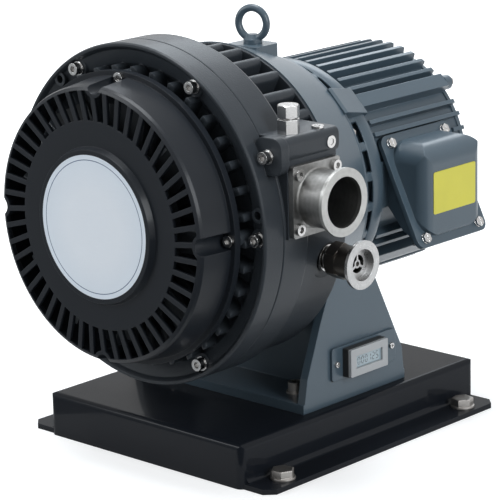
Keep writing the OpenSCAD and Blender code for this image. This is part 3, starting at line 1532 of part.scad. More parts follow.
module terminal_box() color(housing_grey) placed() difference() {
    union() {
        difference() {
            box_body_solid(0);
            box_body_solid(box_wall);
        }
        intersection() {
            box_body_solid(0);
            box_screw_places(-gasket_t) translate([0, 0, -box_boss_l]) cylinder(box_boss_l, r = 2 * box_wall);
        }
    }
    disc(frame_r, frame_y, frame_end_y);
    translate([0, frame_y, -side_pad_half]) cube([side_pad_x, frame_len, 2 * side_pad_half]);
    box_screw_places(-gasket_t) translate([0, 0, -box_boss_l + over]) cylinder(box_boss_l, r = box_screw_r);
    translate([side_pad_x - over, box_y, wire_hole_z]) rotate([0, 90, 0])
        cylinder(box_wall + 2 * over, r = wire_hole_r);
}
box_boss_l = 11;
box_screw_r = 2.5;

module terminal_block() color(seal_black) placed() {
    x = side_pad_x + box_wall;
    translate([x, box_y - block_w / 2, block_z]) cube([block_t, block_w, block_h]);
    for (i = [0:2], j = [0, 1])
        translate([x + block_t, box_y + (i - 1) * block_pitch, block_z + block_h / 4 + j * block_h / 2])
            rotate([0, 90, 0]) cylinder(block_t / 2, r = block_stud_r);
}
block_w = 50;
block_pitch = 16;
block_h = 13;
block_t = 8;
block_z = -15.5;
block_stud_r = 2;

module box_gasket() color(seal_black) placed() difference() {
    on_slope(-gasket_t) linear_extrude(gasket_t) box_body_outline(0);
    on_slope(-gasket_t - over) linear_extrude(gasket_t + 2 * over) difference() {
        box_body_outline(box_wall);
        for (a = [-1, 1], b = [-1, 1])
            translate([a * box_screw_h / 2, b * box_screw_w / 2]) circle(2 * box_wall);
    }
    box_screw_places(-gasket_t - over) cylinder(gasket_t + 2 * over, r = box_screw_r + free_gap);
}

// The raised part of the cover: upright in front, level on top, round at its corners
module hump(inset) {
    intersection() {
        on_slope(inset > 0 ? -over : 0) linear_extrude(hump_x)
            rounded(2 * hump_half_h - 2 * inset, 2 * hump_half_w - 2 * inset, hump_r - inset);
        span(box_y - hump_half_w, box_y + hump_half_w) hump_view(hump_x / 2, hump_x / 2, inset);
        across(0, hump_x) hump_view(box_y, hump_half_w, inset);
        translate([0, box_y, -axis_h]) linear_extrude(2 * axis_h)
            translate([hump_x / 2 - inset, 0])
                rounded(hump_x, 2 * hump_half_w - 2 * inset, hump_edge_r - inset / 2);
    }
}

// The hump from the side or from the front: wide corners at the top, tight ones at the bottom
module hump_view(middle, half, inset) {
    w = 2 * half - 2 * inset;
    tall = 2 * axis_h;
    intersection() {
        translate([middle, hump_z - inset - tall / 2]) rounded(w, tall, hump_top_r - inset / 2);
        translate([middle, inset - hump_drop + tall / 2]) rounded(w, tall, hump_low_r - inset / 2);
    }
}

module box_cover() color(housing_grey) placed() difference() {
    union() {
        on_slope(0) linear_extrude(box_cover_t) box_outline();
        hump(0);
    }
    hump(cover_wall);
    box_screw_places(-over) cylinder(box_cover_t + 2 * over, r = box_screw_r + free_gap);
    translate([conduit_x, box_y + hump_half_w - cover_wall - over, conduit_z]) rotate([-90, 0, 0])
        cylinder(cover_wall + 2 * over, r = conduit_r);
}

module box_cover_screws() color(steel) placed() box_screw_places(box_cover_t)
    difference() {
        union() {
            hex_screw(box_screw_r, box_cover_t + gasket_t + box_boss_l - 3 * over, box_head_af, box_head_h);
            cylinder(over, r = box_head_af / 2 + over / 2);
        }
        translate([0, 0, box_head_h]) cube([box_head_af, over, over], center = true);
    }
box_head_af = 8;
box_head_h = 3.6;

base_plate();
bearing_housing();
pedestal_bolts();
eye_bolt();
hour_meter_plate();
hour_meter_body();
hour_meter_bezel();
hour_meter_window();
hour_meter_screws();
rear_fixed_scroll();
front_fixed_scroll();
orbiting_scroll();
fixed_tip_seals();
orbiting_tip_seals();
casing_seal();
casing_bolts();
crankshaft();
front_bearing();
housing_bearings();
crank_pin_bearing();
shaft_seals();
counterweights();
guide_crank_1();
guide_crank_2();
guide_crank_3();
fixed_crank_bearings();
orbiting_crank_bearings();
cooling_fan();
fan_bolt();
fan_cover();
fan_cover_screws();
label_plate();
inlet_port();
inlet_screws();
inlet_seal();
exhaust_nipple();
exhaust_valve_body();
exhaust_port();
valve_poppet();
valve_spring();
vent_fitting();
vent_cap();
port_block_screws();
motor_bracket();
bracket_screws();
pump_coupling_hub();
coupling_spider();
motor_coupling_hub();
motor_frame();
motor_rear_cover();
stator();
rotor();
motor_bearings();
tie_bolts();
terminal_box();
terminal_block();
box_gasket();
box_cover();
box_cover_screws();
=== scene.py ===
# %% [markdown]
# A dry scroll vacuum pump, dressed for a studio picture. The shapes come from the packed model:
# every rigid piece of the machine is already there at its real size. This file adds the finishes,
# a few small fasteners and plates, the floor, the lamps and the camera. It can be read from top to
# bottom, one cell after the other, and each cell prints what it made. Lengths are in metres. The
# machine stands at the origin on the floor, its shaft runs along Y, the fan cover looks towards -Y
# and the ports look towards +X.

# %% Load the machine
import json
import math

import bmesh
import bpy
from mathutils import Matrix, Vector


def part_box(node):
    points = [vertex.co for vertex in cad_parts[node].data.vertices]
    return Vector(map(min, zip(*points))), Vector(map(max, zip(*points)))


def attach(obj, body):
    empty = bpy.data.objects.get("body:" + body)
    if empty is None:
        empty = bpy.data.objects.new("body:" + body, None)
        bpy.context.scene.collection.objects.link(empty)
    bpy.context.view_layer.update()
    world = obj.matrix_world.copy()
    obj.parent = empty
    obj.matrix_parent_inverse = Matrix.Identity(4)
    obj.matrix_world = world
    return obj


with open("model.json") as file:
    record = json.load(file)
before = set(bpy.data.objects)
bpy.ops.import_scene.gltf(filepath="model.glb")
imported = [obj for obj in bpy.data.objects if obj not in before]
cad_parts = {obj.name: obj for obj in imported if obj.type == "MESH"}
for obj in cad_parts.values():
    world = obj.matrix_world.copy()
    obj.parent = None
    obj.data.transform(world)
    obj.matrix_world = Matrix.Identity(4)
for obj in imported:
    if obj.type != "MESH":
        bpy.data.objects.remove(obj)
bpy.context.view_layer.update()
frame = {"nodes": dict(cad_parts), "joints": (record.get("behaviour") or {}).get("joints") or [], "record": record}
nodes = frame["nodes"]

# %% [markdown]
# Whatever is added here has to sit where the machine has its place for it. Such places could be
# typed in as numbers, but the model already knows them: the shaft's axis is in its joint, and the
# two ports and the holes of the base plate are in its mounts. Read from there, they stay right when
# the model is changed and packed again.

# %% Places that the model gives
joints = {joint["name"]: joint for joint in frame["joints"]}
mounts = {mount["name"]: mount for mount in frame["record"]["mounts"]}
MM = 0.001
SHAFT = Vector((0, 0, joints["shaft_spin"]["pos_m"][2]))
INLET_FACE = mounts["inlet_bore"]["pos_m"]
EXHAUST_FACE = mounts["exhaust_bore"]["pos_m"]
HOLES = mounts["anchor_holes"]["dims"]
BOLT_X = HOLES["spacing_x_mm"] * MM / 2
BOLT_Y = HOLES["spacing_y_mm"] * MM / 2
BRACKET_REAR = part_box("motor_bracket")[1][1]
print("shaft height", round(SHAFT.z, 4), "inlet", INLET_FACE, "exhaust", EXHAUST_FACE)
print("base bolts", round(BOLT_X, 4), round(BOLT_Y, 4), "bracket's rear", round(BRACKET_REAR, 4))

# %% [markdown]
# The camera stands where the photographer stood: to the right of the fan cover, a little above the
# machine, and far away behind a long lens, so that parallel edges hardly close up. It could be
# dragged about until the picture looks right. Numbers are surer: the lens, the heading, the height
# and a slight roll were worked out from the standard sizes that show, such as the ports' flanges.

# %% The camera
PICTURE_PX = 500
FOCAL_PX = 2559.0
SENSOR_MM = 36.0
HEADING = math.radians(42.86)
HEIGHT_ANGLE = math.radians(14.85)
ROLL = math.radians(-1.28)
DISTANCE = 2.192
AIM_RIGHT = -0.0104
AIM_UP = -0.0476
AIM_HEIGHT = 0.200
VIEW_DEPTH = 50.0


def add_object(name, data):
    """An object at the origin that shows a mesh, a lamp or a camera."""
    made = bpy.data.objects.new(name, data)
    bpy.context.scene.collection.objects.link(made)
    return made


def add_camera():
    """A camera that looks at the machine along the photograph's line of sight."""
    lens = bpy.data.cameras.new("photo_camera")
    lens.sensor_width = SENSOR_MM
    lens.lens = FOCAL_PX / PICTURE_PX * SENSOR_MM
    lens.clip_end = VIEW_DEPTH
    right = Vector((math.cos(HEADING), math.sin(HEADING), 0))
    level = Vector((math.sin(HEADING), -math.cos(HEADING), 0))
    back = level * math.cos(HEIGHT_ANGLE) + Vector((0, 0, math.sin(HEIGHT_ANGLE)))
    up = back.cross(right)
    rolled_right = right * math.cos(ROLL) + up * math.sin(ROLL)
    rolled_up = up * math.cos(ROLL) - right * math.sin(ROLL)
    aim = Vector((0, 0, AIM_HEIGHT)) + right * AIM_RIGHT + up * AIM_UP
    camera = add_object("photo_camera", lens)
    camera.matrix_world = (Matrix.Translation(aim + back * DISTANCE)
                           @ Matrix((rolled_right, rolled_up, back)).transposed().to_4x4())
    bpy.context.scene.camera = camera
    return camera


camera = add_camera()
print("lens", round(camera.data.lens, 1), "mm at", [round(value, 3) for value in camera.location])

# %% [markdown]
# A finish is a small network of shader nodes. It could be wired by hand, node by node, but most of
# it is arithmetic, and arithmetic is easier to read as such. So one small class wraps a socket and
# gives it the operators of a number: rough + (grain - 0.5) * spread then makes three nodes.

# %% A socket that counts as a number


class Field:
    """A value that varies over a surface: the output socket of a node."""

    def __init__(self, network, socket):
        self.network = network
        self.socket = socket

    def __add__(self, other):
        return self.network.math("ADD", self, other)

    def __radd__(self, other):
        return self.network.math("ADD", other, self)

    def __sub__(self, other):
        return self.network.math("SUBTRACT", self, other)

    def __rsub__(self, other):
        return self.network.math("SUBTRACT", other, self)

    def __mul__(self, other):
        return self.network.math("MULTIPLY", self, other)

    def __rmul__(self, other):
        return self.network.math("MULTIPLY", other, self)

    def __pow__(self, other):
        return self.network.math("POWER", self, other)

    def __gt__(self, other):
        return self.network.math("GREATER_THAN", self, other)

    def __lt__(self, other):
        return self.network.math("LESS_THAN", self, other)


print("sockets now know + - * ** > <")

# %% [markdown]
# Every other node comes from one method, which takes the node's type, its settings, and what goes
# into its sockets: a plain number or colour, or another node's output. A number that is the same
# all over goes straight onto the socket. The finishes, the floor and the world are all such
# networks, so they share this class.

# %% A network of nodes


class Network:
    """The nodes of a material or of the world, cleared and then built up."""

    def __init__(self, holder):
        holder.use_nodes = True
        self.tree = holder.node_tree
        self.tree.nodes.clear()

    def feed(self, socket, value):
        """Links a field to a socket, or sets a plain value on it."""
        if isinstance(value, Field):
            self.tree.links.new(value.socket, socket)
        else:
            socket.default_value = value

    def node(self, kind, settings=None, inputs=None, output=0):
        """A new node's output, or a list of them where output is a tuple of names."""
        made = self.tree.nodes.new(kind)
        for name, value in (settings or {}).items():
            setattr(made, name, value)
        for name, value in (inputs or {}).items():
            self.feed(made.inputs[name], value)
        if isinstance(output, tuple):
            return [Field(self, made.outputs[name]) for name in output]
        return Field(self, made.outputs[output]) if len(made.outputs) else None

    def math(self, operation, first, second):
        return self.node("ShaderNodeMath", {"operation": operation}, {0: first, 1: second})

    def clamp(self, field):
        """The field kept between 0 and 1."""
        return self.node("ShaderNodeClamp", None, {"Value": field})

    def place(self):
        """Where a point is in the object's own coordinates, so that a pattern can't slide."""
        return self.node("ShaderNodeTexCoord", None, None, "Object")


print("network ready")

# %% [markdown]
# A finish has a Principled shader in its middle, and every finish of the machine is built from the
# same few parts: noise, a blend of two colours, a bump, and normals that roll over sharp edges. A
# real edge is never quite sharp. It could be bevelled in the mesh, but that would multiply the
# faces of the model, so the shader's Bevel node does it: the light then runs along each edge, and
# the same node tells where the edges are.

# %% A finish and its parts
EDGE_SAMPLES = 4
EDGE_GAIN = 6.0
NOISE_MIDDLE = 0.5
SQUARE_ROOT = 0.5


class Finish(Network):
    """A material that is built round one Principled shader."""

    def __init__(self, name, **constants):
        self.material = bpy.data.materials.new(name)
        super().__init__(self.material)
        shown = self.node("ShaderNodeBsdfPrincipled")
        self.shader = shown.socket.node
        self.node("ShaderNodeOutputMaterial", None, {"Surface": shown})
        self.use(**constants)

    def use(self, **values):
        """Feeds the shader's sockets by name and gives the material back."""
        for name, value in values.items():
            self.feed(self.shader.inputs[name.replace("_", " ")], value)
        return self.material

    def split(self, vector):
        """The three parts of a vector, each as a number."""
        return self.node("ShaderNodeSeparateXYZ", None, {0: vector}, ("X", "Y", "Z"))

    def from_axis(self, across, up):
        """How far a point is from an axis, by the rule of Pythagoras."""
        return (across * across + up * up) ** SQUARE_ROOT

    def stretched(self, scale):
        """Object coordinates drawn out or squeezed along each axis."""
        return self.node("ShaderNodeMapping", None, {"Vector": self.place(), "Scale": scale})

    def noise(self, scale, detail=2.0, roughness=0.5, at=None):
        """A soft random pattern, finer for a larger scale."""
        return self.node("ShaderNodeTexNoise", None, {
            "Vector": at or self.place(), "Scale": scale, "Detail": detail, "Roughness": roughness})

    def swing(self, noise, width):
        """A noise made to swing evenly about zero."""
        return (noise - NOISE_MIDDLE) * width

    def wave(self, field):
        return self.node("ShaderNodeMath", {"operation": "SINE"}, {0: field})

    def blend(self, share, low, high):
        """A colour between two colours."""
        return self.node("ShaderNodeMix", {"data_type": "RGBA"},
                         {"Factor": share, "A": low, "B": high}, "Result")

    def soft_edges(self, radius):
        """A normal that rolls over every sharp edge, as a real edge does."""
        return self.node("ShaderNodeBevel", {"samples": EDGE_SAMPLES}, {"Radius": radius})

    def edge_share(self, soft):
        """1 on an edge and 0 on open faces: where the rolled normal leaves the plain one."""
        plain = self.node("ShaderNodeNewGeometry", None, None, "Normal")
        along = self.node("ShaderNodeVectorMath", {"operation": "DOT_PRODUCT"},
                          {0: soft, 1: plain}, "Value")
        return self.clamp((1.0 - along) * EDGE_GAIN)

    def bump(self, height, distance, normal):
        """A normal that is tilted as if the surface rose and fell by distance."""
        return self.node("ShaderNodeBump", None,
                         {"Height": height, "Distance": distance, "Normal": normal})


def grey(value, tint=0.0):
    """A neutral colour, cooler for a positive tint and warmer for a negative one."""
    return (value * (1 - tint), value, value * (1 + tint), 1)


def shade(colour, factor):
    """The same colour, lighter or darker."""
    return tuple(min(1.0, channel * factor) for channel in colour[:3]) + (1,)


print("parts of a finish:", [name for name in vars(Finish) if not name.startswith("_")])

# %% [markdown]
# The machine wears a few families of paint. Enamel over the blue-grey castings is smooth but
# follows the grain of the sand below it. The scroll castings have a darker, duller coat with a
# coarser grain. The moulded fan cover and the folded base have a fine powder coat. Each could be
# one flat colour with one gloss value, but real paint is never even. So every coat gets a fine
# grain that moves its normal and its roughness, a slow drift of its tone, a painted highlight
# that lightens the colour along the edges, and a thin clear layer, which gives the soft sheen.
# The dark coats have a low specular level, because the white room would otherwise turn them grey.

# %% Paint and coatings
SAND_GRAIN = (3.0, 0.6)
SLOW_GRAIN = (3.0, 0.55)
SLOW_DRIFT = 16.0
ROUGH_SPREAD = 0.18
CLEAR_SPREAD = 0.10
# How much lighter the colour is painted on the edges: a painted highlight along every edge.
EDGE_HIGHLIGHT_TONE = 1.35
HOUSING_BLUE = (0.055, 0.082, 0.105, 1)
CASTING_DARK = (0.027, 0.032, 0.038, 1)
COVER_DARK = (0.0120, 0.0145, 0.0185, 1)
BASE_DARK = (0.0090, 0.0108, 0.0145, 1)
FAN_DARK = (0.05, 0.056, 0.062, 1)


def coated(name, colour, rough, grain, depth, soft=0.0010, mottle=0.10, gloss=0.25, clear=0.10,
           clear_rough=0.16):
    """A coat over metal, with grain as bump, slow mottling and a painted highlight on the edges."""
    finish = Finish(name, Metallic=0.0, Specular_IOR_Level=gloss, Coat_Roughness=clear_rough)
    edges = finish.soft_edges(soft)
    fine = finish.noise(grain, *SAND_GRAIN)
    slow = finish.noise(SLOW_DRIFT, *SLOW_GRAIN)
    base = finish.blend(slow, shade(colour, 1 + mottle), shade(colour, 1 - mottle))
    # The base colour is painted lighter where the edge mask is high, a painted highlight along the edges.
    return finish.use(
        Base_Color=finish.blend(finish.edge_share(edges), base, shade(colour, EDGE_HIGHLIGHT_TONE)),
        Roughness=finish.clamp(rough + finish.swing(fine, ROUGH_SPREAD)),
        Normal=finish.bump(fine, depth, edges),
        Coat_Weight=finish.clamp(clear + finish.swing(slow, CLEAR_SPREAD)))


housing_paint = coated("housing_paint", HOUSING_BLUE, rough=0.36, grain=900, depth=0.00010,
                       soft=0.0012, gloss=0.36, clear=0.22)
casting_coat = coated("casting_coat", CASTING_DARK, rough=0.42, grain=700, depth=0.00018,
                      soft=0.0014, mottle=0.18, gloss=0.20)
cover_coat = coated("cover_coat", COVER_DARK, rough=0.36, grain=1500, depth=0.00005, gloss=0.16)
base_coat = coated("base_coat", BASE_DARK, rough=0.45, grain=1200, depth=0.00003, soft=0.0012,
                   gloss=0.02, clear=0.22, clear_rough=0.09)
fan_coat = coated("fan_coat", FAN_DARK, rough=0.5, grain=900, depth=0.00006)
for coat in (housing_paint, casting_coat, cover_coat, base_coat, fan_coat):
    print(coat.name, len(coat.node_tree.nodes), "shader nodes")

# %% [markdown]
# Screws, bearings and bare castings are plain metal. A smooth grey metal would look like chrome. A
# worked surface has a fine grain that breaks the reflections up, and its tone drifts a little where
# it was handled, so both are added, and the rolled edges catch the light.

# %% Bare metals
FINE_GRAIN = (2.0, 0.6)
METAL_EDGE = 0.0005
METAL_PATCHES = 40.0
METAL_DRIFT = 0.14
METAL_SPREAD = 0.14
BRONZE = (0.12, 0.11, 0.10, 1)
BARE_IRON = (0.30, 0.16, 0.09, 1)


def metal(name, colour, rough, grain=1400, depth=0.00002):
    """Plain worked metal: an even fine grain and bright rolled edges."""
    finish = Finish(name, Metallic=1.0)
    fine = finish.noise(grain, *FINE_GRAIN)
    slow = finish.noise(METAL_PATCHES)
    return finish.use(Base_Color=finish.blend(slow, colour, shade(colour, 1 - METAL_DRIFT)),
                      Roughness=finish.clamp(rough + finish.swing(fine, METAL_SPREAD)),
                      Normal=finish.bump(fine, depth, finish.soft_edges(METAL_EDGE)))


bright_steel = metal("bright_steel", grey(0.52, -0.01), rough=0.20)
dull_steel = metal("dull_steel", grey(0.34, -0.05), rough=0.40, grain=1100, depth=0.00004)
machined_alloy = metal("machined_alloy", grey(0.60, 0.01), rough=0.34)
ground_steel = metal("ground_steel", grey(0.50), rough=0.26)
dark_bronze = metal("dark_bronze", BRONZE, rough=0.40, grain=900, depth=0.00004)
stator_iron = metal("stator_iron", BARE_IRON, rough=0.5, grain=600, depth=0.0001)
rotor_iron = metal("rotor_iron", grey(0.22), rough=0.45, grain=700, depth=0.00006)
print("metals:", [m.name for m in (bright_steel, dull_steel, machined_alloy, ground_steel,
                                   dark_bronze, stator_iron, rotor_iron)])

# %% [markdown]
# The two port flanges were turned on a lathe, so their faces have fine rings about their own axes.
# Anisotropic shading could show rings too, but a small bump does it with plain inputs: a sine wave
# of the distance from the axis. It is read in the object's own coordinates, so it stays on the
# metal from every side. The rim was cut freshly and is bright, and behind it the metal is duller,
# so one test on the distance along the axis chooses between two tones.

# %% Turned metal of the ports
TURNED_EDGE = 0.0004
TURNED_SPREAD = 0.2
TURNED_DRIFT = 0.2
RING_PITCH = 0.0006
RING_DEPTH = 0.00002
RING_WANDER = 5.0
BAND_PITCH = RING_PITCH * 7.3
FRESH_BANDS = 0.12
WORN_BANDS = 0.10
WANDER_SCALE = 260.0
INLET_RIM = 0.0035
EXHAUST_RIM = 0.0062
INLET_FRESH = (0.42, 0.42, 0.41, 1)
INLET_WORN = (0.25, 0.25, 0.245, 1)
EXHAUST_WORN = (0.30, 0.30, 0.29, 1)


def turned_metal(name, fresh, worn, rough, face, rim):
    """Metal turned about an axis along X through face, fresh on its rim and worn behind it."""
    finish = Finish(name, Metallic=1.0)
    along, y, z = finish.split(finish.place())
    far = finish.from_axis(y - face[1], z - face[2]) + along
    wander = finish.noise(WANDER_SCALE)
    rings = finish.wave(far * (2 * math.pi / RING_PITCH) + wander * RING_WANDER)
    bands = finish.wave(far * (2 * math.pi / BAND_PITCH))
    bright = finish.blend(finish.clamp(bands * FRESH_BANDS + wander),
                          fresh, shade(fresh, 1 - TURNED_DRIFT))
    dull = finish.blend(finish.clamp(bands * WORN_BANDS + wander),
                        shade(worn, 1 + TURNED_DRIFT), shade(worn, 1 - TURNED_DRIFT))
    return finish.use(Base_Color=finish.blend(along > face[0] - rim, dull, bright),
                      Roughness=finish.clamp(rough + finish.swing(wander, TURNED_SPREAD)),
                      Normal=finish.bump(rings, RING_DEPTH, finish.soft_edges(TURNED_EDGE)))


inlet_steel = turned_metal("inlet_steel", INLET_FRESH, INLET_WORN, rough=0.38, face=INLET_FACE,
                           rim=INLET_RIM)
exhaust_steel = turned_metal("exhaust_steel", grey(0.46), EXHAUST_WORN, rough=0.30,
                             face=EXHAUST_FACE, rim=EXHAUST_RIM)
print("turned:", inlet_steel.name, exhaust_steel.name)

# %% [markdown]
# Seals, the meter's case and the film on the terminal box are plastic or rubber. They show one even
# colour, so what makes them real is a fine matt grain and a soft line of light along each moulded
# edge. The meter's window and the film get a clear coat on top, because they are glossy.

# %% Plastics and rubber
MOULDED_EDGE = 0.0005
MOULDED_PATCHES = 50.0
MOULDED_SHADE = 0.88
MOULDED_SPREAD = 0.12
WINDOW_GREY = (0.34, 0.42, 0.46, 1)
SEAL_CREAM = (0.60, 0.54, 0.42, 1)
SPIDER_RED = (0.42, 0.05, 0.03, 1)
FILM_YELLOW = (0.66, 0.60, 0.030, 1)


def moulded(name, colour, rough, grain=1200, depth=0.00003, clear=0.0):
    """Moulded plastic or rubber: one colour, a fine matt grain and soft edges."""
    finish = Finish(name, Metallic=0.0, Coat_Weight=clear)
    fine = finish.noise(grain, *FINE_GRAIN)
    slow = finish.noise(MOULDED_PATCHES)
    return finish.use(Base_Color=finish.blend(slow, colour, shade(colour, MOULDED_SHADE)),
                      Roughness=finish.clamp(rough + finish.swing(fine, MOULDED_SPREAD)),
                      Normal=finish.bump(fine, depth, finish.soft_edges(MOULDED_EDGE)))


meter_black = moulded("meter_black", grey(0.018), rough=0.45)
meter_bezel = moulded("meter_bezel", grey(0.42, 0.02), rough=0.38)
meter_glass = moulded("meter_glass", WINDOW_GREY, rough=0.14, clear=0.6)
seal_rubber = moulded("seal_rubber", grey(0.015), rough=0.62, grain=800, depth=0.00006)
tip_seal = moulded("tip_seal", SEAL_CREAM, rough=0.5)
red_spider = moulded("red_spider", SPIDER_RED, rough=0.5)
yellow_film = moulded("yellow_film", FILM_YELLOW, rough=0.32, grain=1600, depth=0.00001,
                      clear=0.25)
print("plastics:", [p.name for p in (meter_black, meter_bezel, meter_glass, seal_rubber,
                                     tip_seal, red_spider, yellow_film)])

# %% [markdown]
# The round plate on the fan cover is a thin disc of pale anodised alloy. A bare disc of one grey
# would look unfinished: the real one has a fine brushed grain, a thin border line and a slightly
# darker outer zone. An image could carry them, but all three follow from the distance to the pump's
# axis and from one drawn-out noise, so they stay sharp at any size.

# %% The round plate
PLATE_ZONE_R = 0.030
PLATE_ZONE_FADE = 24.0
PLATE_LINE_R = 0.0545
PLATE_LINE_W = 0.0007
PLATE_PALE = (0.84, 0.88, 0.93, 1)
PLATE_DUSK = (0.72, 0.79, 0.87, 1)
PLATE_LINE = (0.10, 0.15, 0.24, 1)
PLATE_ROUGH = 0.30
PLATE_EDGE = 0.0004
BRUSH_SCALE = 90.0
BRUSH_GRAIN = (4.0, 0.6)
BRUSH_STRETCH = (1.0, 1.0, 26.0)
BRUSH_SHADE = 0.8
BRUSH_SHARE = 0.20
BRUSH_ROUGH = 0.15
BRUSH_DEPTH = 0.00001


def plate_finish():
    """Pale brushed alloy with a border line and a darker outer zone, about the pump's axis."""
    finish = Finish("plate_face", Metallic=0.0, Specular_IOR_Level=0.4, Coat_Roughness=0.12,
                    Coat_Weight=0.25)
    x, _, z = finish.split(finish.place())
    far = finish.from_axis(x, z - SHAFT.z)
    brushed = finish.noise(BRUSH_SCALE, *BRUSH_GRAIN, at=finish.stretched(BRUSH_STRETCH))
    zone = finish.clamp((far - PLATE_ZONE_R) * PLATE_ZONE_FADE)
    line = (far > PLATE_LINE_R) * (far < PLATE_LINE_R + PLATE_LINE_W)
    face = finish.blend(zone, PLATE_PALE, PLATE_DUSK)
    grained = finish.blend(brushed * BRUSH_SHARE, face, shade(PLATE_DUSK, BRUSH_SHADE))
    return finish.use(Base_Color=finish.blend(line, grained, PLATE_LINE),
                      Roughness=finish.clamp(PLATE_ROUGH + brushed * BRUSH_ROUGH),
                      Normal=finish.bump(brushed, BRUSH_DEPTH, finish.soft_edges(PLATE_EDGE)))


label_face = plate_finish()
print("plate:", len(label_face.node_tree.nodes), "shader nodes")

# %% [markdown]
# Each node of the machine now gets its finish. The record already names a finish slot for every
# node, so one table from slot to material dresses all of them, and no node can be forgotten. The
# small exhaust flange was turned about its own axis, so it gets its own rings afterwards.

# %% Dress the nodes
FINISHES = {
    "base_black": base_coat, "housing_paint": housing_paint, "casting_grey": casting_coat,
    "cover_black": cover_coat, "label_silver": label_face, "bright_steel": bright_steel,
    "zinc_steel": dull_steel, "stainless_port": inlet_steel, "bare_alloy": machined_alloy,
    "bronze_dark": dark_bronze, "bearing_steel": ground_steel, "shaft_steel": ground_steel,
    "seal_black": seal_rubber, "seal_white": tip_seal, "fan_grey": fan_coat,
    "spider_red": red_spider, "stator_iron": stator_iron, "rotor_iron": rotor_iron,
    "meter_black": meter_black, "meter_bezel": meter_bezel, "meter_window": meter_glass,
}


def dress(node, material):
    """Gives a node of the machine one material."""
    mesh = nodes[node].data
    mesh.materials.clear()
    mesh.materials.append(material)


for part in frame["record"]["subparts"]:
    dress(part["node"], FINISHES[part["material_slot"]])
dress("exhaust_port", exhaust_steel)

# %% [markdown]
# A few small things are left to this file: the four base bolts, which the machine's user supplies,
# a collar on the motor's bracket, a plain plate on the terminal box, and the figures of the hour
# meter. Each is modelled in a bmesh, Blender's editable mesh, and repeated with a matrix. One
# helper turns a finished bmesh into an object that rides on the machine's fixed body. It merges
# double points first, points all faces outwards, and keeps edges sharp only where they really are.

# %% A helper for new pieces
SHARP_ANGLE = math.radians(32)
MERGE_DISTANCE = 1e-7
BEVEL_RULES = {"offset_type": "OFFSET", "profile": 0.5, "material": -1}


def mesh_of(name, shape):
    """A mesh made from a bmesh, which is freed."""
    mesh = bpy.data.meshes.new(name)
    shape.to_mesh(mesh)
    shape.free()
    return mesh


def edges_of(verts):
    """The edges that meet some vertices, each once and always in the same order."""
    return list(dict.fromkeys(edge for vert in verts for edge in vert.link_edges))


def bevel_edges(shape, edges, width, segments):
    """Rounds some edges off."""
    bmesh.ops.bevel(shape, geom=edges, offset=width, segments=segments, affect="EDGES",
                    clamp_overlap=True, **BEVEL_RULES)


def keep_piece(name, shape, material):
    """Ends the modelling of a piece: an object at the origin that rides on the fixed body."""
    bmesh.ops.remove_doubles(shape, verts=shape.verts, dist=MERGE_DISTANCE)
    bmesh.ops.recalc_face_normals(shape, faces=shape.faces)
    mesh = mesh_of(name, shape)
    mesh.shade_smooth()
    mesh.set_sharp_from_angle(angle=SHARP_ANGLE)
    mesh.materials.append(material)
    piece = add_object(name, mesh)
    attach(piece, "root")
    print(name, len(mesh.polygons), "faces")


print("piece helpers ready")

# %% [markdown]
# A base bolt is a hexagon bolt with a washer. The plainest way is three closed cylinders, one of
# them with six sides, and that alone would look like a toy. So the head's upper edges are bevelled,
# as on a forged head, and its top is inset and pushed down to the shallow dish that forging leaves.
# No two bolts are tightened to the same angle, so each head is turned a little further.

# %% Base bolts
SHEET_T = 0.0045
WASHER_R = 0.0105
WASHER_T = 0.002
WASHER_BEVEL = WASHER_T / 5
HEAD_R = 0.017 / math.sqrt(3)
HEAD_H = 0.0064
HEAD_BEVEL = 0.0011
DISH_IN = 0.0022
DISH_DEPTH = 0.0004
SHANK_R = 0.0049
SHANK_LENGTH = SHEET_T * 0.95
BOLT_TURN = math.radians(17)
ROUND_SIDES = 40
HEX_SIDES = 6
SAME_LEVEL = 1e-6
FACES_UP = 0.9


def add_rod(shape, radius, low, high, at, sides=ROUND_SIDES, turn=0.0):
    """The vertices of a new closed cylinder from low to high over a place."""
    middle = Matrix.Translation((0, 0, (low + high) / 2)) @ Matrix.Rotation(turn, 4, "Z")
    made = bmesh.ops.create_cone(shape, cap_ends=True, segments=sides, radius1=radius,
                                 radius2=radius, depth=high - low, matrix=at @ middle)
    return made["verts"]


def level_edges(verts, height):
    """The edges of some vertices that lie at one height."""
    return [edge for edge in edges_of(verts)
            if all(abs(end.co.z - height) < SAME_LEVEL for end in edge.verts)]


def add_base_bolts():
    """Four bolts with washers, one in each hole of the base plate."""
    shape = bmesh.new()
    for index, (x, y) in enumerate([(1, 1), (1, -1), (-1, 1), (-1, -1)]):
        at = Matrix.Translation((x * BOLT_X, y * BOLT_Y, SHEET_T))
        washer = add_rod(shape, WASHER_R, 0, WASHER_T, at)
        bevel_edges(shape, level_edges(washer, SHEET_T + WASHER_T), WASHER_BEVEL, segments=2)
        add_rod(shape, SHANK_R, -SHANK_LENGTH, 0, at)
        head = add_rod(shape, HEAD_R, WASHER_T, WASHER_T + HEAD_H, at, HEX_SIDES,
                       BOLT_TURN * (index + 1))
        top = next(face for vert in head for face in vert.link_faces if face.normal.z > FACES_UP)
        bmesh.ops.inset_individual(shape, faces=[top], thickness=DISH_IN, use_even_offset=True)
        bmesh.ops.translate(shape, verts=top.verts, vec=(0, 0, -DISH_DEPTH))
        rim = level_edges(head, SHEET_T + WASHER_T + HEAD_H)
        bevel_edges(shape, rim, HEAD_BEVEL, segments=3)
    keep_piece("base_bolts", shape, dull_steel)


add_base_bolts()

# %% [markdown]
# Behind the bracket's flange the real casting steps out again to a collar, so that its air windows
# look like deep pockets between short bars. The collar could be two cylinders, but its rolled lip
# is what catches the light, so it is one section that is spun about the shaft. Its front is
# undercut, which keeps the pockets dark. The bars are one bevelled block, repeated where the
# casting has no window. The section's corners are given as a radius and a distance in front of the
# bracket's rear face.

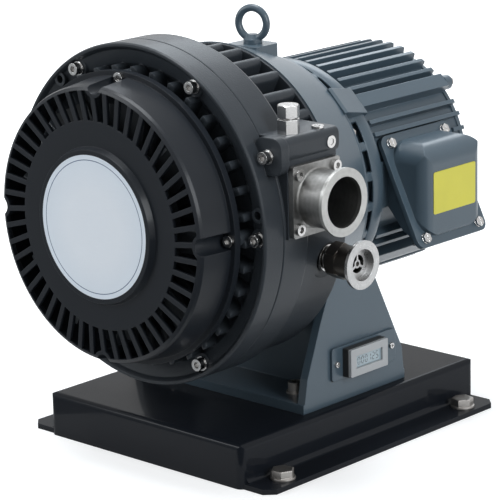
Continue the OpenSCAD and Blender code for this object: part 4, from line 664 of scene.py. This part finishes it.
# %% The bracket's collar and bars
COLLAR_SECTION = [(0.0934, 0.0120), (0.0991, 0.0168), (0.0999, 0.0172), (0.1006, 0.0169),
                  (0.1010, 0.0160), (0.1010, 0.0070), (0.1004, 0.0045), (0.0990, 0.0020),
                  (0.0970, 0.0004), (0.0934, 0.0002)]
COLLAR_STEPS = 120
BAR_COUNT = 24
BAR_LOW_R = 0.0925
BAR_HIGH_R = 0.1002
BAR_NEAR = 0.0145
BAR_FAR = 0.0345
BAR_W = 0.0082
BAR_BEVEL = 0.0016


def add_collar():
    """The collar, and the ring of bars in front of it."""
    shape = bmesh.new()
    corners = [shape.verts.new((r, BRACKET_REAR - before, SHAFT.z)) for r, before in COLLAR_SECTION]
    edges = [shape.edges.new(pair) for pair in zip(corners, corners[1:] + corners[:1])]
    bmesh.ops.spin(shape, geom=corners + edges, cent=SHAFT, axis=(0, 1, 0), angle=2 * math.pi,
                   steps=COLLAR_STEPS, use_merge=True)
    size = Matrix.Diagonal((BAR_HIGH_R - BAR_LOW_R, BAR_FAR - BAR_NEAR, BAR_W, 1))
    middle = Matrix.Translation(((BAR_LOW_R + BAR_HIGH_R) / 2,
                                 BRACKET_REAR - (BAR_NEAR + BAR_FAR) / 2, 0))
    for index in range(BAR_COUNT):
        turn = Matrix.Rotation(2 * math.pi * (index + 0.5) / BAR_COUNT, 4, "Y")
        at = Matrix.Translation(SHAFT) @ turn @ middle @ size
        bar = bmesh.ops.create_cube(shape, size=1, matrix=at)["verts"]
        bevel_edges(shape, edges_of(bar), BAR_BEVEL, segments=2)
    keep_piece("bracket_collar", shape, housing_paint)


add_collar()

# %% [markdown]
# The plate on the terminal box is a thin film with round corners. It starts as a flat grid, its
# corners are rounded with a vertex bevel, it is turned to face the side, and an extrusion gives it
# a visible edge. A painted patch on the cover would be simpler, but it would have no edge to catch
# the light.

# %% The plate on the terminal box
FILM_FACE_X = 0.132
FILM_MIDDLE_Z = 0.2060
FILM_T = 0.0004
FILM_W = 0.057
FILM_H = 0.0365
FILM_R = 0.0020
FILM_STEPS = 6
TO_THE_SIDE = Matrix(((0, 0, 1), (1, 0, 0), (0, 1, 0))).to_4x4()


def pull_out(shape, faces, rise):
    """Draws flat faces out along +X, which closes a wall round them."""
    raised = bmesh.ops.extrude_face_region(shape, geom=faces)
    tops = [part for part in raised["geom"] if isinstance(part, bmesh.types.BMVert)]
    bmesh.ops.translate(shape, verts=tops, vec=(rise, 0, 0))


def add_film():
    """A thin plate with round corners on the terminal box's cover."""
    low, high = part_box("box_cover")
    shape = bmesh.new()
    made = bmesh.ops.create_grid(shape, x_segments=1, y_segments=1, size=0.5)
    bmesh.ops.scale(shape, verts=shape.verts, vec=(FILM_W, FILM_H, 1))
    bmesh.ops.bevel(shape, geom=made["verts"], offset=FILM_R, segments=FILM_STEPS,
                    affect="VERTICES", **BEVEL_RULES)
    place = Matrix.Translation((FILM_FACE_X, (low[1] + high[1]) / 2, FILM_MIDDLE_Z))
    bmesh.ops.transform(shape, verts=shape.verts, matrix=place @ TO_THE_SIDE)
    pull_out(shape, shape.faces[:], FILM_T)
    keep_piece("box_film", shape, yellow_film)


add_film()

# %% [markdown]
# The hour meter has a plain row of seven-segment figures in its window. A text object could write
# them, but no font here has such figures. They are simple anyway: a segment is a long hexagon, and
# all figures share the same seven places, so a few letters per figure say which of them are dark.

# %% The figures of the hour meter
FIGURE_W = 0.0026
FIGURE_H = 0.0060
FIGURE_STEP = 0.0047
SEGMENT_SHARE = 0.9
SEGMENT_T = 0.0007
SEGMENT_RISE = 0.00008
FIGURES = "000125"
LIT = {"0": "abcdef", "1": "bc", "2": "abged", "5": "afgcd"}
SEGMENTS = {"a": (0, 1, False), "g": (0, 0, False), "d": (0, -1, False), "f": (-1, 0.5, True),
            "b": (1, 0.5, True), "e": (-1, -0.5, True), "c": (1, -0.5, True)}


def add_segment(shape, place, upright):
    """One dark segment, a six-sided prism that lies on the window."""
    length = (FIGURE_H / 2 if upright else FIGURE_W) * SEGMENT_SHARE
    verts = bmesh.ops.create_circle(shape, cap_ends=True, segments=6, radius=0.5)["verts"]
    bmesh.ops.scale(shape, verts=verts, vec=(length, SEGMENT_T, 1))
    turn = Matrix.Rotation(math.radians(90 if upright else 0), 4, "Z")
    bmesh.ops.transform(shape, verts=verts, matrix=Matrix.Translation(place) @ TO_THE_SIDE @ turn)
    pull_out(shape, [verts[0].link_faces[0]], SEGMENT_RISE)


def add_figures():
    """All figures of the row, centred on the meter's window."""
    low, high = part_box("hour_meter_window")
    first = (low[1] + high[1]) / 2 - FIGURE_STEP * (len(FIGURES) - 1) / 2
    middle = (low[2] + high[2]) / 2
    shape = bmesh.new()
    for index, figure in enumerate(FIGURES):
        for letter in LIT[figure]:
            across, up, upright = SEGMENTS[letter]
            place = (high[0], first + index * FIGURE_STEP + across * FIGURE_W / 2,
                     middle + up * FIGURE_H / 2)
            add_segment(shape, place, upright)
    keep_piece("meter_figures", shape, meter_black)


add_figures()

# %% [markdown]
# The background has to be plain white, also where glossy metal mirrors it, but it must not light
# the machine more than the lamps do. A brighter lamp could bleach the floor, but the machine would
# wash out with it. So the floor and the world ask what kind of ray sees them: they are white only
# to rays from the camera and to reflected and transmitted rays, and dim to all others.

# %% Which rays see the white backdrop
def sees_backdrop(network):
    """1 for camera, glossy and transmission rays, and 0 for the rays that carry light."""
    camera_ray, glossy_ray, passed_ray = network.node(
        "ShaderNodeLightPath", None, None, ("Is Camera Ray", "Is Glossy Ray", "Is Transmission Ray"))
    return network.clamp(camera_ray + glossy_ray + passed_ray)


print("backdrop test ready")

# %% [markdown]
# The floor is a wide sheet of pale paper. Near the machine it keeps the soft shadow, which a floor
# that only glows would lose: so it is paper that glows a little. Further away the glow rises until
# the floor fades into the white of the world, and no horizon shows from any side.

# %% The floor
FLOOR_SIZE = 40.0
FLOOR_DROP = 0.0002
FLOOR_PAPER = 0.64
FLOOR_DIM = 0.45
FLOOR_GLOW = 0.55
FADE_START = 0.45
FADE_END = 1.5


def floor_paper():
    """White paper that glows more the further it lies from the machine."""
    material = bpy.data.materials.new("floor_paper")
    paper = Network(material)
    away = paper.node("ShaderNodeVectorMath", {"operation": "LENGTH"}, {0: paper.place()}, "Value")
    fade = paper.node("ShaderNodeMapRange", None, {
        "Value": away, "From Min": FADE_START, "From Max": FADE_END, "To Min": FLOOR_GLOW,
        "To Max": 1.0})
    lit = paper.node("ShaderNodeBsdfDiffuse", None, {"Color": grey(FLOOR_PAPER)})
    glow = paper.node("ShaderNodeEmission", None, {"Color": fade})
    white = paper.node("ShaderNodeAddShader", None, {0: lit, 1: glow})
    dim = paper.node("ShaderNodeBsdfDiffuse", None, {"Color": grey(FLOOR_DIM)})
    shown = paper.node("ShaderNodeMixShader", None, {0: sees_backdrop(paper), 1: dim, 2: white})
    paper.node("ShaderNodeOutputMaterial", None, {"Surface": shown})
    return material


def add_floor():
    """A sheet of the paper, just below the machine."""
    shape = bmesh.new()
    bmesh.ops.create_grid(shape, x_segments=1, y_segments=1, size=FLOOR_SIZE / 2)
    bmesh.ops.translate(shape, verts=shape.verts, vec=(0, 0, -FLOOR_DROP))
    mesh = mesh_of("studio_floor", shape)
    mesh.materials.append(floor_paper())
    add_object("studio_floor", mesh)


add_floor()
print("floor", FLOOR_SIZE, "m wide, white beyond", FADE_END, "m")

# %% [markdown]
# The world is the light that comes from everywhere else in the room. It is weak and a little cool,
# so that shadows keep some colour, and the camera and the reflections see it as plain white.

# %% The world
WORLD_COOL = (0.92, 0.96, 1.0, 1)
WORLD_DIM = 0.30


def add_world():
    """A dim room that the camera and the reflections see as white."""
    world = bpy.data.worlds.new("studio_world")
    bpy.context.scene.world = world
    room = Network(world)
    dim = room.node("ShaderNodeBackground", None, {"Color": WORLD_COOL, "Strength": WORLD_DIM})
    white = room.node("ShaderNodeBackground", None, {"Color": grey(1.0), "Strength": 1.0})
    shown = room.node("ShaderNodeMixShader", None, {0: sees_backdrop(room), 1: dim, 2: white})
    room.node("ShaderNodeOutputWorld", None, {"Surface": shown})


add_world()
print("world strength", WORLD_DIM)

# %% [markdown]
# A machine this dark would look grey in front of so much white, because its coats mirror the room.
# Darker paint would not help, since the mirrored white lies on top of the colour. A photographer
# sets up cards instead: here a grey one leans at the machine's left and a black one lies before its
# front. Only reflections see them. They keep the coats dark and draw the dark lines in the metal.

# %% Dark cards for the reflections
CARD_ROUGH = 0.9
CARDS = {
    "left_card": {"low": (-0.16, -0.18, -0.0001), "high": (-0.62, -0.67, 0.50), "width": 1.3,
                  "tone": 0.40},
    "front_card": {"low": (0.16, -0.18, -0.0001), "high": (0.75, -0.81, 0.16), "width": 1.0,
                   "tone": 0.03},
}


def add_card(name, low, high, width, tone):
    """A card with its low edge near the machine and its high edge away from it."""
    low, high = Vector(low), Vector(high)
    along = (high - low).cross(Vector((0, 0, 1))).normalized() * (width / 2)
    shape = bmesh.new()
    corners = (low - along, low + along, high + along, high - along)
    shape.faces.new([shape.verts.new(corner) for corner in corners])
    mesh = mesh_of(name, shape)
    face = Finish(name + "_face", Base_Color=grey(tone), Roughness=CARD_ROUGH)
    mesh.materials.append(face.material)
    card = add_object(name, mesh)
    card.visible_camera = False
    card.visible_diffuse = False
    card.visible_shadow = False


for name, card in CARDS.items():
    add_card(name, **card)
print("cards:", list(CARDS))

# %% [markdown]
# The lamps are large soft panels, as in a product studio. A small lamp would throw hard shadows and
# tiny highlights. The strongest panel stands to the right, so the faces with the ports are the
# bright ones. One above draws the bright lines along the top edges, one at the left opens up the
# fan cover, and a weak one behind gives the motor's fins a rim of light.

# %% The lamps
LAMP_AIM = Vector((0, 0, 0.18))
COOL = (0.93, 0.97, 1.0)
COLDER = (0.85, 0.93, 1.0)
LAMPS = {
    "top_panel": {"place": (-0.3, -0.1, 2.2), "size": (1.1, 1.1), "power": 36, "colour": COOL},
    "left_panel": {"place": (-1.6, -1.9, 1.3), "size": (1.2, 1.4), "power": 27, "colour": COOL},
    "right_panel": {"place": (2.6, -0.3, 1.3), "size": (1.0, 1.4), "power": 43, "colour": COOL},
    "back_panel": {"place": (-1.2, 1.9, 1.7), "size": (1.4, 1.0), "power": 14, "colour": COLDER},
}


def add_lamp(name, place, size, power, colour):
    """A soft panel that faces the machine."""
    lamp = bpy.data.lights.new(name, "AREA")
    lamp.shape = "RECTANGLE"
    lamp.size, lamp.size_y = size
    lamp.energy = power
    lamp.color = colour
    panel = add_object(name, lamp)
    panel.location = place
    panel.rotation_euler = (LAMP_AIM - Vector(place)).to_track_quat("-Z", "Y").to_euler()


for name, lamp in LAMPS.items():
    add_lamp(name, **lamp)
bpy.context.scene.view_settings.view_transform = "Standard"
print("lamps:", {name: lamp["power"] for name, lamp in LAMPS.items()})

# %% [markdown]
